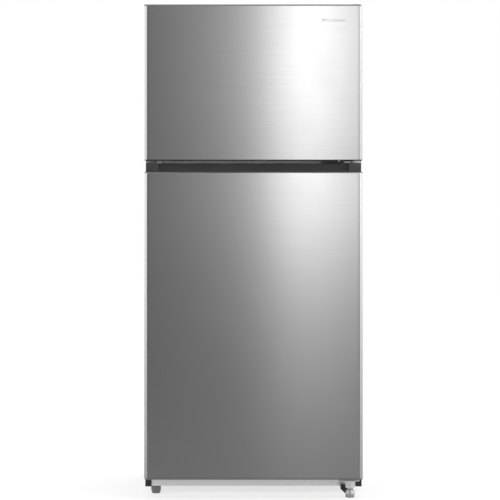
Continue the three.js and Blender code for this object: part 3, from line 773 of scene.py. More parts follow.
@dataclass
class Screws:
    """Pan head screws with a cross recess, one piece for each group."""

    radius: float = 0.0042
    height: float = 0.0022

    def build(self, name: str, places: Sequence[Sequence[float]], side: Side, body: str) -> None:
        """Sets a screw at each place, its head towards a side.

        Args:
            name: The group's name.
            places: Where each head's underside is.
            side: The side that the heads face.
            body: The frame body that they hold to.
        """
        first = Vector(places[0])
        profile = [
            (self.radius * 1.25, 0.0),
            (self.radius * 1.25, self.height * 0.25),
            (self.radius, self.height * 0.3),
            (self.radius * 0.92, self.height * 0.75),
            (self.radius * 0.7, self.height),
        ]
        head = Shape.turned(name, first, side, profile, sides=20)
        across = [axis for axis in range(3) if not side.value[axis]]
        top = first + side.vector * self.height
        for axis in across:
            half = [self.radius * 0.11] * 3
            half[axis] = self.radius * 0.52
            for along in range(3):
                if side.value[along]:
                    half[along] = self.height * 0.55
            spans = [about(top[i], half[i]) for i in range(3)]
            head.cut(Shape.box(f"{name}_recess", Box(*spans)))
        head.copied([Vector(place) - first for place in places[1:]])
        head.dressed(SCREW_STEEL.material(), body, "plated_steel")


@dataclass
class HexBolts:
    """Flanged hex bolts, one piece for each group."""

    radius: float = 0.005
    height: float = 0.004

    def build(self, name: str, places: Sequence[Sequence[float]], side: Side, body: str) -> None:
        """Sets a bolt at each place, its head towards a side."""
        first = Vector(places[0])
        wide = self.radius * 1.5
        washer = [(wide, 0), (wide, self.height * 0.2), (self.radius, self.height * 0.3)]
        crown = [(self.radius, 0), (self.radius, self.height * 0.9), (self.radius * 0.85, self.height)]
        bolt = Shape.turned(name, first, side, washer, sides=24)
        bolt.joined(Shape.turned(f"{name}_hex", first, side, crown, sides=6))
        bolt.copied([Vector(place) - first for place in places[1:]])
        bolt.dressed(SCREW_STEEL.material(), body, "plated_steel", angle=20)


# ---- doors ------------------------------------------------------------------------------


@dataclass
class Door:
    """One insulated door: its steel skin, liner, gasket and bins."""

    name: str
    bins: tuple[str, ...]
    rolled_top: bool = False
    edge: float = 0.0115
    return_width: float = 0.02
    roll: float = 0.005
    seal_width: float = 0.014
    pin_bore: float = 0.0072
    hem: float = 0.003
    cap_drop: float = 0.001
    cap_finish: Finish = field(default_factory=lambda: BLACK)

    def build(self) -> None:
        """Builds the parts that both doors have."""
        self.skin()
        self.bottom_cap()
        self.liner()
        self.gasket()
        for node in self.bins:
            self.bin(node)
        carry(f"{self.name}_foam", FOAM)

    def skin(self) -> None:
        """The folded steel skin, with round front edges and a return behind each side."""
        box = Box.of(f"{self.name}_skin")
        box = box.but(z=(box.z[0] - self.hem, box.z[1]))
        (left, right), (front, back), top = box.x, box.y, box.z[1]
        shape = Shape.box(f"{self.name}_outer_skin", box)
        shape.rounded(either(edges_at(x=left, y=front), edges_at(x=right, y=front)), self.edge, 7)
        if self.rolled_top:
            rim, rear = edges_at(z=top), edges_at(y=back)
            shape.rounded(lambda edge: rim(edge) and not rear(edge), self.roll, 4)
        shape.opened(either(shape.far(Side.TOP), shape.far(Side.BOTTOM)))
        inner = right - self.return_width
        shape.sliced(Side.RIGHT, (-inner, 0, 0)).sliced(Side.RIGHT, (inner, 0, 0))
        behind = shape.far(Side.BACK)
        shape.opened(lambda face: behind(face) and abs(face.calc_center_median().x) < inner)
        shape.thickened(0.9 * MM, even=False)
        shape.dressed(STAINLESS.material(), self.name, "stainless_steel", [f"{self.name}_skin"])

    def bottom_cap(self) -> None:
        """The black cap underneath, tucked inside the skin's hem."""
        node = f"{self.name}_bottom_cap"
        box = Box.of(node)
        shape = copy_of(bpy.data.objects[node], f"{self.name}_foot_cap")
        margin = 2.4 * MM
        factor = (1 - margin / box.size.x, 1 - margin / box.size.y, 1)
        shape.resized(None, factor, box.centre)
        shape.moved(shape.far(Side.BOTTOM), (0, 0, -self.cap_drop))
        bore = [(self.pin_bore, -9 * MM), (self.pin_bore, box.size.z + 1 * MM)]
        shape.cut(Shape.turned("pin_bore", (*HINGE_LINE, box.z[0]), Side.TOP, bore, sides=32))
        shape.softened(0.8 * MM)
        shape.dressed(self.cap_finish.material(), self.name, "black_plastic", [node])

    def liner(self) -> None:
        """The moulded inner panel with its raised frame, lugs and rounded corners."""
        node = f"{self.name}_liner"
        source = bpy.data.objects[node]
        shape = copy_of(source, f"{self.name}_inner_panel")
        shape.softened(3.2 * MM, 3)
        shape.dressed(LINER.material(), self.name, "liner_plastic", [node])

    def gasket(self) -> None:
        """The magnetic gasket: a ring with a bellows groove on both flanks."""
        node = f"{self.name}_gasket"
        box = Box.of(node)
        ring = Shape.box(f"{self.name}_seal", box)
        ring.opened(either(ring.far(Side.FRONT), ring.far(Side.BACK)))
        ring.rounded(along_y, 17 * MM, 6)
        ring.sliced(Side.FRONT, box.centre)
        ring.shrunk(edges_at(y=box.centre.y), 2.2 * MM)
        ring.thickened(self.seal_width)
        ring.resized(toward(Side.FRONT, 0.8), (1, 0, 1), Vector((0, box.y[0], 0)))
        ring.resized(toward(Side.BACK, 0.8), (1, 0, 1), Vector((0, box.y[1], 0)))
        ring.softened(0.7 * MM, 2, 30)
        ring.dressed(GASKET_VINYL.material(), self.name, "gasket_rubber", [node])

    def bin(self, node: str) -> None:
        """A clear door bin with drafted walls, a rolled rim and a white front rail."""
        box = Box.of(node)
        tray = Tray(wall=2.2 * MM, corner=14 * MM, draft=0.97)
        tray.build(f"{node}_tray", box, CLEAR, self.name, "clear_plastic", [node])
        back = box.y[1]
        rail_box = box.but(y=(back - 3.4 * MM, back - 0.2 * MM), z=(box.z[1] - 30 * MM, box.z[1] + 1 * MM))
        rail = Shape.box(f"{node}_rail", rail_box.inset(x=8 * MM))
        rail.rounded(edges_at(y=back - 0.2 * MM), 1.4 * MM, 3)
        rail.dressed(WHITE.material(), self.name, "white_plastic")


@dataclass
class Tray:
    """An open moulded tray with round corners and drafted walls."""

    wall: float
    corner: float
    draft: float = 0.98

    def build(
        self, name: str, box: Box, finish: Finish, body: str, slot: str, replaces: Sequence[str] = ()
    ) -> bpy.types.Object:
        """Builds the tray inside a box, open at the top."""
        centre = box.centre
        shape = Shape.box(name, box)
        floor = Vector((centre.x, centre.y, box.z[0]))
        shape.resized(shape.far(Side.BOTTOM), (self.draft, self.draft, 1), floor)
        shape.rounded(upright, self.corner, 5)
        shape.rounded(edges_at(z=box.z[0]), self.corner * 0.5, 4)
        shape.opened(shape.far(Side.TOP))
        shape.thickened(self.wall)
        shape.softened(min(0.8 * MM, self.wall * 0.4), 2, 60)
        return shape.dressed(finish.material(), body, slot, replaces)


def copy_of(node: bpy.types.Object, name: str) -> Shape:
    """A copy of a frame node's mesh with its vertices merged and its flat faces whole."""
    take(node)
    bpy.ops.object.duplicate()
    shape = Shape(bpy.context.object, name)
    shape.piece.parent = None
    for key in list(shape.piece.keys()):
        del shape.piece[key]
    with shape._editing("FACE", None):
        bpy.ops.mesh.remove_doubles(threshold=TOUCH)
        bpy.ops.mesh.dissolve_limited(angle_limit=math.radians(1))
    return shape


def carry(node: str, finish: Finish, edge: float = 0.0) -> None:
    """Gives a frame node its finish, and rounds its edges if a width is given."""
    piece = bpy.data.objects[node]
    piece.data.materials.clear()
    piece.data.materials.append(finish.material())
    if edge:
        weld = piece.modifiers.new("weld", "WELD")
        weld.merge_threshold = TOUCH
        flat = piece.modifiers.new("flat", "DECIMATE")
        flat.decimate_type = "DISSOLVE"
        flat.angle_limit = math.radians(1)
        soft = piece.modifiers.new("soft", "BEVEL")
        soft.width = edge
        soft.segments = 2
        soft.limit_method = "ANGLE"
        soft.angle_limit = math.radians(40)
    log.info("%s carried over with %s", node, finish.name)


@dataclass
class FreezerDoor(Door):
    """The upper door with its caps, its black stop, which also paints the shade in the gap by the middle
    hinge, and a blank badge.
    """

    name: str = "freezer_door"
    bins: tuple[str, ...] = ("freezer_door_bin_lower", "freezer_door_bin_upper")
    badge_x: Span = (0.236, 0.318)
    badge_z: Span = (1.6372, 1.6448)
    stop_x: Span = (0.2352, 0.3095)

    def build(self) -> None:
        """Builds the whole door."""
        super().build()
        carry("freezer_door_top_cap", TRIM, 0.8 * MM)
        self.badge()
        self.stop()

    def badge(self) -> None:
        """A blank rounded plate, let into the skin."""
        front = Box.of("freezer_door_skin").y[0]
        deep = (front - 0.5 * MM, front + 0.4 * MM)
        plate = Shape.box("blank_badge", Box(self.badge_x, deep, self.badge_z))
        plate.rounded(along_y, 2.5 * MM, 5)
        plate.rounded(edges_at(y=front - 0.5 * MM), 0.3 * MM, 2)
        plate.dressed(BADGE.material(), self.name, "plated_steel")

    def stop(self) -> None:
        """The black door stop under the hinge end, with its screw; its black block also paints the dark shade
        in the gap beside the middle hinge.
        """
        bottom = Box.of("freezer_door_bottom_cap").z[0]
        box = Box(self.stop_x, (-0.353, -0.322), (bottom - 8.2 * MM, bottom + 1 * MM))
        # painted shade: the black block also fills the shaded gap beside the middle hinge
        block = Shape.box("door_stop", box)
        block.rounded(None, 1.6 * MM, 3)
        block.inset(toward(Side.FRONT), 2 * MM, -1 * MM)
        block.dressed(BLACK.material(), self.name, "black_plastic")
        place = (box.x[1] - 16 * MM, box.y[0] + 0.9 * MM, box.centre.z)
        Screws(radius=2.4 * MM, height=1.5 * MM).build("door_stop_screw", [place], Side.FRONT, self.name)


@dataclass
class FridgeDoor(Door):
    """The lower door with its recessed black handle."""

    name: str = "fridge_door"
    bins: tuple[str, ...] = ("fridge_door_bin_1", "fridge_door_bin_2", "fridge_door_bin_3")
    rolled_top: bool = True
    hem: float = 0.0
    cap_drop: float = 0.0015
    cap_finish: Finish = field(default_factory=lambda: TRIM)

    def build(self) -> None:
        """Builds the whole door."""
        super().build()
        self.handle()

    def handle(self) -> None:
        """The black moulding across the top, with a deep finger pocket and ribbed ends."""
        node = "fridge_door_handle_cap"
        shape = copy_of(bpy.data.objects[node], "handle_moulding")
        shape.softened(1.3 * MM, 3)
        shape.dressed(BLACK.material(), self.name, "black_plastic", [node])


# ---- cabinet ----------------------------------------------------------------------------


@dataclass
class Cabinet:
    """The outside of the cabinet: its case, back, rails, hinges and feet."""

    body: str = "cabinet"
    sheet: float = 1.1 * MM
    fold: float = 6 * MM
    seam: float = 0.3 * MM
    pitch: float = 1.5 * MM

    def build(self) -> None:
        """Builds every outside part."""
        self.case()
        self.back()
        self.rails()
        self.hinges()
        self.feet()
        self.rollers()

    def case(self) -> None:
        """The wrapped sheet with rounded long edges and its front flange."""
        box = Box.of("outer_case")
        rail = Box.of("base_rail")
        mouth = Box.of("fridge_liner").x[1]
        flange = box.x[1] - mouth - self.seam
        shape = Shape.box("wrapped_case", box)
        left, right = edges_at(x=box.x[0], z=box.z[1]), edges_at(x=box.x[1], z=box.z[1])
        front = shape.far(Side.FRONT)
        shape.inset(front, flange)
        shape.opened(lambda face: front(face) and self._inside(face, 5 * MM, box.z[1] - flange))
        shape.rounded(either(left, right), self.fold, 5)
        toe, corner = rail.z[1] + self.seam, rail.x[1] + self.seam
        shape.sliced(Side.TOP, (0, 0, toe))
        shape.sliced(Side.RIGHT, (-corner, 0, 0)).sliced(Side.RIGHT, (corner, 0, 0))
        shape.opened(lambda face: front(face) and self._inside(face, corner, toe))
        shape.opened(either(shape.far(Side.BACK), shape.far(Side.BOTTOM)))
        shape.thickened(self.sheet, even=False)
        shape.dressed(CASE_PAINT.material(), self.body, "case_paint", ["outer_case"])

    @staticmethod
    def _inside(face: bmesh.types.BMFace, half: float, top: float) -> bool:
        """True if the middle of a face is nearer than half to X = 0, and under a height."""
        middle = face.calc_center_median()
        return abs(middle.x) < half and middle.z < top

    def back(self) -> None:
        """The rear sheet, machine cover, board cover, spacers and gland, with their screws."""
        carry("rear_panel", CASE_PAINT, 1 * MM)
        carry("machine_cover", PLATED, 0.4 * MM)
        carry("control_board_cover", CASE_PAINT, 2 * MM)
        carry("rear_spacer_left", BLACK, 2 * MM)
        carry("rear_spacer_right", BLACK, 2 * MM)
        carry("cord_gland", RUBBER, 1 * MM)
        panel = Box.of("rear_panel")
        skin = panel.y[0] + 1.2 * MM
        rows = [0.33, 0.66, 0.99, 1.32, 1.65]
        edge = panel.x[1] - 12 * MM
        places = [(x, skin, z) for z in rows for x in (-edge, edge)] + [(x, skin, 1.676) for x in (-0.2, 0.2)]
        Screws().build("rear_panel_screws", places, Side.BACK, self.body)
        cover = Box.of("machine_cover")
        corners = [(x, cover.y[1], z) for z in (0.052, 0.272) for x in (-0.352, 0, 0.352)]
        Screws().build("machine_cover_screws", corners, Side.BACK, self.body)
        board = Box.of("control_board_cover")
        board_places = [(x, board.y[1], z) for z in (1.39, 1.49) for x in (0.19, 0.32)]
        Screws(radius=3 * MM).build("board_cover_screws", board_places, Side.BACK, self.body)

    def rails(self) -> None:
        """The centre rail, toe rail, corner caps and the plate underneath."""
        carry("center_rail", CENTER_PAINT, 0.8 * MM)
        carry("base_rail", RAIL_PAINT, 0.9 * MM)
        carry("corner_cap_left", BLACK, 2 * MM)
        carry("corner_cap_right", BLACK, 2 * MM)
        carry("base_plate", PLATED, 0.5 * MM)
        carry("cabinet_foam", FOAM)
        front = Box.of("center_rail").y[0]
        plugs = [(-0.313, front, 1.1573), (-0.276, front, 1.1573)]
        Screws(radius=3.6 * MM).build("center_rail_plugs", plugs, Side.FRONT, self.body)

    def hinges(self) -> None:
        """The three hinge brackets, the top cover and their bolts."""
        for node in ("top_hinge_bracket", "middle_hinge_bracket", "bottom_hinge_bracket"):
            carry(node, BRACKET_ZINC, 0.5 * MM)
        carry("top_hinge_cover", BLACK, 1.2 * MM)
        bottom = Box.of("bottom_hinge_bracket")
        face = Box.of("base_rail").y[0] - 3.3 * MM
        places = [(bottom.x[0] + 11 * MM, face, bottom.z[0] + 10 * MM)]
        HexBolts().build("bottom_hinge_bolt", places, Side.FRONT, self.body)
        foot = Box.of("foot_right").centre
        outline = [(15 * MM, 0), (16.4 * MM, 1.2 * MM), (16.4 * MM, 23.6 * MM), (15.6 * MM, 24.4 * MM)]
        start = (foot.x, foot.y, 33.2 * MM)
        sleeve = Shape.turned("hinge_foot_sleeve", start, Side.TOP, outline, sides=48)
        boss = [(13.3 * MM, -1 * MM), (13.3 * MM, 26 * MM)]
        sleeve.cut(Shape.turned("sleeve_bore", start, Side.TOP, boss, sides=40))
        sleeve.dressed(BRACKET_ZINC.material(), self.body, "plated_steel")
        # painted shade: a black wedge darkens the place under the hinge arm
        self._glide(bottom.x[0] + 7 * MM)

    def _glide(self, start: float) -> None:
        """The black wedge under the toe rail, beside the right foot: a dark block that paints the shade under
        the hinge arm.
        """
        rail = Box.of("base_rail")
        front = (rail.y[0] - 7.6 * MM, rail.y[0] - 3.6 * MM)
        box = Box((start, start + 27 * MM), front, (0.012, 0.042))
        wedge = Shape.box("front_glide", box)
        wedge.rounded(edges_at(x=box.x[0], z=box.z[0]), 15 * MM, 1)
        wedge.rounded(None, 1.2 * MM, 2)
        wedge.dressed(BLACK.material(), self.body, "black_plastic")

    def feet(self) -> None:
        """The two levelling feet: a flared plastic one on the left, and a turned zinc one."""
        flared = [
            (12 * MM, 0), (13.6 * MM, 1 * MM), (14.6 * MM, 3.4 * MM), (17 * MM, 14 * MM),
            (17.4 * MM, 19 * MM), (16.4 * MM, 20 * MM), (16.4 * MM, 21 * MM), (17.4 * MM, 22 * MM),
            (17.4 * MM, 24 * MM),
        ]
        drum = [
            (13 * MM, 0), (15 * MM, 1.4 * MM), (15.6 * MM, 4 * MM), (15.6 * MM, 22 * MM),
            (15 * MM, 23.4 * MM), (12 * MM, 24 * MM), (12 * MM, 28 * MM),
        ]
        self._foot("left", flared, FOOT_GREY, "foot_plastic")
        self._foot("right", drum, FOOT_ZINC, "foot_plastic")

    def _foot(self, side: str, outline: list[tuple[float, float]], finish: Finish, slot: str) -> None:
        """One foot: its pad, the thread above it and a lock nut."""
        node, pad = f"foot_{side}", outline[-1][1]
        box = Box.of(node)
        turns = int((box.z[1] - pad) / self.pitch)
        thread = [(5 * MM, pad)]
        for turn in range(turns):
            start = pad + turn * self.pitch
            thread += [(4.9 * MM, start + 0.35 * self.pitch), (4.1 * MM, start + 0.8 * self.pitch)]
        foot = Vector((box.centre.x, box.centre.y, 0))
        shape = Shape.turned(f"levelling_foot_{side}", foot, Side.TOP, outline + thread, sides=48)
        shape.dressed(finish.material(), f"{side}_foot", slot, [node])
        ring = [(10 * MM, 0), (11 * MM, 0.6 * MM), (11 * MM, 3.9 * MM), (10 * MM, 4.5 * MM)]
        place = foot + Vector((0, 0, pad + 0.4 * MM))
        nut = Shape.turned(f"lock_nut_{side}", place, Side.TOP, ring, sides=6)
        nut.dressed(PLATED.material(), f"{side}_foot", "plated_steel", angle=20)

    def rollers(self) -> None:
        """The rear rollers with tyres chamfered at both edges, and their headed axles."""
        for side in ("left", "right"):
            node = f"roller_{side}"
            box = Box.of(node)
            radius, width = box.size.z / 2, box.size.x
            outline = [
                (5 * MM, 0), (radius - 4 * MM, 0), (radius - 2 * MM, 0.6 * MM), (radius, 2.6 * MM),
                (radius, width - 2.6 * MM), (radius - 2 * MM, width - 0.6 * MM),
                (radius - 4 * MM, width), (5 * MM, width),
            ]
            foot = Vector((box.x[0], box.centre.y, box.centre.z))
            wheel = Shape.turned(f"rear_roller_{side}", foot, Side.RIGHT, outline, sides=48)
            bore = [(4.7 * MM, -2 * MM), (4.7 * MM, width + 2 * MM)]
            wheel.cut(Shape.turned("roller_bore", foot, Side.RIGHT, bore, sides=32))
            wheel.dressed(BLACK.material(), f"{side}_roller", "black_plastic", [node])
            carry(f"roller_axle_{side}", SCREW_STEEL, 0.4 * MM)


@dataclass
class Inside:
    """The two compartments and what they hold."""

    body: str = "cabinet"
    corner: float = 14 * MM
    wall: float = 2.6 * MM
    lip: float = 3 * MM
    freezer_half: float = 0.313
    freezer_back: float = 0.285
    freezer_z: Span = (1.187, 1.626)
    fridge_half: float = 0.323
    fridge_back: float = 0.29
    fridge_z: Span = (0.1, 1.127)
    hump_top: float = 0.31
    hump_front: float = 0.11
    freezer_shelves: tuple[float, ...] = (1.398,)
    fridge_shelves: tuple[float, ...] = (0.79, 0.56, 0.322)

    def build(self) -> None:
        """Builds both compartments and their fittings."""
        self.freezer_liner()
        self.fridge_liner()
        self.shelves()
        self.drawers()
        self.freezer_fittings()
        self.fridge_fittings()

    def _lip(self, name: str, outer: Box, inner: Box) -> Shape:
        """The flat rim round a compartment's mouth."""
        hole = Shape.box("rim_hole", inner.but(y=(outer.y[0] - 1, outer.y[1] + 1)))
        return Shape.box(name, outer).cut(hole.rounded(along_y, self.corner - 2 * MM, 5))

    def _ribs(self, x_out: float, y: Span, tops: Sequence[float]) -> list[Shape]:
        """Rounded shelf ribs on both side walls, each just under a shelf."""
        ribs = []
        for top in tops:
            for x in ((x_out - 10 * MM, x_out + 1 * MM), (-x_out - 1 * MM, -x_out + 10 * MM)):
                rib = Shape.box("shelf_rib", Box(x, y, (top - 9 * MM, top - 0.3 * MM)))
                ribs.append(rib.rounded(None, 2.4 * MM, 3))
        return ribs

    def freezer_liner(self) -> None:
        """The freezer's moulded tub."""
        node = "freezer_liner"
        outer = Box.of(node)
        half = self.freezer_half
        cavity = Box((-half, half), (outer.y[0] + 1 * MM, self.freezer_back), self.freezer_z)
        tub = Shape.box("freezer_tub", cavity)
        tub.rounded(lambda edge: not edges_at(y=cavity.y[0])(edge), self.corner, 5)
        tub.opened(tub.far(Side.FRONT))
        tub.thickened(self.wall, outward=True)
        lip_box = outer.but(y=(outer.y[0], outer.y[0] + self.lip))
        tub.joined(self._lip("freezer_lip", lip_box, cavity.inset(x=2 * MM, z=2 * MM)))
        tub.joined(*self._ribs(half, (-0.18, 0.226), self.freezer_shelves))
        tub.dressed(LINER.material(), self.body, "liner_plastic", [node])

    def fridge_liner(self) -> None:
        """The fridge's moulded tub, with the step over the machine bay."""
        node = "fridge_liner"
        outer = Box.of(node)
        half = self.fridge_half
        cavity = Box((-half, half), (outer.y[0] + 1 * MM, self.hump_front), self.fridge_z)
        tub = Shape.box("fridge_tub", cavity)
        tub.sliced(Side.TOP, (0, 0, self.hump_top))
        tub.pushed(
            lambda face: toward(Side.BACK)(face) and face.calc_center_median().z > self.hump_top,
            (0, self.fridge_back - self.hump_front, 0),
        )
        tub.rounded(
            lambda edge: not edges_at(y=cavity.y[0])(edge) and edge.calc_face_angle(0) > 0.5,
            self.corner, 5,
        )
        tub.opened(tub.far(Side.FRONT))
        tub.thickened(self.wall, outward=True)
        lip_box = outer.but(y=(outer.y[0], outer.y[0] + self.lip), z=(0.0973, outer.z[1]))
        tub.joined(self._lip("fridge_lip", lip_box, cavity.inset(x=2 * MM, z=2 * MM)))
        tub.joined(*self._ribs(half, (-0.18, 0.27), self.fridge_shelves))
        guides = [
            Shape.box("drawer_guide", Box(x, (-0.185, 0.1), (0.099, 0.114))).rounded(None, 1.2 * MM, 2)
            for x in ((0.305, 0.309), (-0.309, -0.305))
        ]
        tub.joined(*guides)
        tub.dressed(LINER.material(), self.body, "liner_plastic", [node])

    def shelves(self) -> None:
        """The shelves: a pane in a moulded frame, or a slotted moulding in the freezer."""
        for node in ("shelf_upper", "shelf_lower", "crisper_cover"):
            box = Box.of(node)
            floor = box.z[0] + 7 * MM
            thick = box.z[1] - 14 * MM - floor
            pane_box = box.inset(x=7 * MM, y=7 * MM).but(z=(floor + 1 * MM, floor + thick - 1 * MM))
            pane = Shape.box(f"{node}_pane", pane_box)
            pane.rounded(None, 0.8 * MM, 2)
            pane.dressed(GLASS.material(), self.body, "shelf_glass", [node])
            frame_z = (floor, floor + thick)
            front_box = box.but(y=(box.y[0], box.y[0] + 16 * MM), z=(box.z[0], frame_z[1]))
            front = Shape.box(f"{node}_frame", front_box)
            front.rounded(edges_at(y=box.y[0]), 3 * MM, 4)
            sides = [
                Shape.box("frame_side", Box(x, (box.y[0] + 15 * MM, box.y[1] - 5 * MM), frame_z)).rounded(
                    None, 1.5 * MM, 2
                )
                for x in ((box.x[0], box.x[0] + 14 * MM), (box.x[1] - 14 * MM, box.x[1]))
            ]
            back = Shape.box("frame_back", box.but(y=(box.y[1] - 8 * MM, box.y[1]), z=(floor, box.z[1])))
            front.joined(*sides, back.rounded(None, 2 * MM, 3))
            front.dressed(WHITE.material(), self.body, "white_plastic")
        self.freezer_shelf()

    def freezer_shelf(self) -> None:
        """The freezer's white shelf with rows of drain slots."""
        node = "freezer_shelf"
        shape = copy_of(bpy.data.objects[node], "slotted_shelf")
        box = Box.of(node)
        slot = Shape.box("shelf_slot", Box((-0.29, -0.272), (-0.15, -0.02), (box.z[0] - 1, box.z[1] + 1)))
        slot.repeated(2, (0, 0.18, 0)).repeated(19, (0.0313, 0, 0))
        shape.cut(slot)
        shape.softened(0.9 * MM, 2)
        shape.dressed(WHITE.material(), self.body, "white_plastic", [node])

    def drawers(self) -> None:
        """The crisper drawers: a clear tub behind a proud front with a finger lip."""
        for side in ("left", "right"):
            node = f"crisper_drawer_{side}"
            body = f"crisper_{side}"
            box = Box.of(node)
            tub = box.inset(x=3 * MM).but(y=(box.y[0] + 3.5 * MM, box.y[1]), z=(box.z[0], box.z[1] - 12 * MM))
            Tray(wall=2.2 * MM, corner=12 * MM, draft=0.975).build(
                f"{node}_tub", tub, CLEAR, body, "clear_plastic", [node]
            )
            front = Shape.box(f"{node}_front", box.but(y=(box.y[0], box.y[0] + 4 * MM)))
            front.rounded(along_y, 6 * MM, 4)
            front.rounded(edges_at(y=box.y[0]), 1.2 * MM, 2)
            front.dressed(CLEAR.material(), body, "clear_plastic")
            top = box.z[1] - 16 * MM
            lip_y = (box.y[0] - 0.5 * MM, box.y[0] + 16 * MM)
            lip = Shape.box(f"{node}_grip", box.inset(x=40 * MM).but(y=lip_y, z=(top - 5 * MM, top)))
            lip.rounded(None, 1.6 * MM, 3)
            lip.dressed(WHITE.material(), body, "white_plastic")

    def freezer_fittings(self) -> None:
        """The back panel, coil and fan."""
        carry("freezer_back_panel", LINER, 0.8 * MM)
        self.coil()
        carry("fan_motor", BLACK, 1 * MM)
        carry("fan_blade", WHITE, 0.5 * MM)

    def coil(self) -> None:
        """The evaporator: a serpentine tube through a row of fins, between two end plates."""
        node = "evaporator"
        box = Box.of(node)
        rows, reach = 7, box.x[1] - 14 * MM
        heights = [box.z[0] + 16 * MM + row * (box.size.z - 32 * MM) / (rows - 1) for row in range(rows)]
        route = []
        for row, height in enumerate(heights):
            ends = (-reach, reach) if row % 2 == 0 else (reach, -reach)
            route += [(ends[0], box.centre.y, height), (ends[1], box.centre.y, height)]
        tube = Shape.pipe("coil_tube", route, 4 * MM, 13 * MM)
        tube.dressed(FIN.material(), self.body, "coil_aluminium", [node])
        fin_x = -0.228
        fin = Shape.box("coil_fins", Box((fin_x, fin_x + 0.4 * MM), box.y, box.z).inset(y=3 * MM, z=3 * MM))
        fin.repeated(66, (7 * MM, 0, 0))
        fin.dressed(FIN.material(), self.body, "coil_aluminium")

    def fridge_fittings(self) -> None:
        """The duct panel, control box, knob and lamp lens."""
        carry("duct_panel", WHITE, 2 * MM)
        carry("control_housing", WHITE, 3 * MM)
        self.knob()
        self.lens()

    def knob(self) -> None:
        """The temperature knob with a pointed grip, and the dial round it."""
        node = "temperature_knob"
        box = Box.of(node)
        front = -0.1725
        foot = Vector((box.centre.x, -0.1505, box.centre.z))
        outline = [
            (17 * MM, 0), (17 * MM, 9 * MM), (16.4 * MM, 12 * MM), (15 * MM, 13.6 * MM), (12 * MM, 14 * MM),
        ]
        disc = Shape.turned("dial_knob", foot, Side.FRONT, outline, sides=56)
        grip_box = Box(about(foot.x, 3 * MM), (front, foot.y - 10 * MM), about(foot.z, 15.5 * MM))
        grip = Shape.box("knob_grip", grip_box)
        grip.rounded(None, 1.4 * MM, 3)
        disc.joined(grip)
        disc.dressed(FOOT_GREY.material(), "knob", "foot_plastic", [node])
        tick = Shape.box("dial_pointer", Box(about(foot.x, 0.8 * MM), (front - 0.2 * MM, front + 1 * MM),
                                             (foot.z + 4 * MM, foot.z + 14 * MM)))
        tick.rounded(None, 0.3 * MM, 2)
        tick.dressed(WHITE.material(), "knob", "white_plastic")
        face = Box.of("control_housing").y[0]
        ink = (face - 0.25 * MM, face + 0.3 * MM)
        ticks = []
        for step in range(9):
            turn = math.radians(-120 + 30 * step)
            x, z = foot.x + 23 * MM * math.sin(turn), foot.z + 19.5 * MM * math.cos(turn)
            if z < 1.0865:
                continue
            mark = Shape.box("dial_marks", Box(about(x, 0.9 * MM), ink, about(z, 0.9 * MM)))
            ticks.append(mark.rounded(None, 0.15 * MM, 1))
        ticks[0].joined(*ticks[1:])
        ticks[0].piece.name = "dial_marks"
        ticks[0].dressed(PRINT_GREY.material(), self.body, "foot_plastic")

    def lens(self) -> None:
        """The lamp's ribbed lens."""
        node = "light_cover"
        box = Box.of(node)
        shape = Shape.box("lamp_lens", box)
        shape.rounded(edges_at(z=box.z[0]), 3 * MM, 4)
        groove = Shape.box("lens_groove", box.but(x=(box.x[0] + 8 * MM, box.x[0] + 9.5 * MM),
                                                 z=(box.z[0] - 1 * MM, box.z[0] + 0.8 * MM)).inset(y=6 * MM))
        groove.repeated(19, (4 * MM, 0, 0))
        shape.cut(groove)
        shape.dressed(LENS.material(), self.body, "clear_plastic", [node])


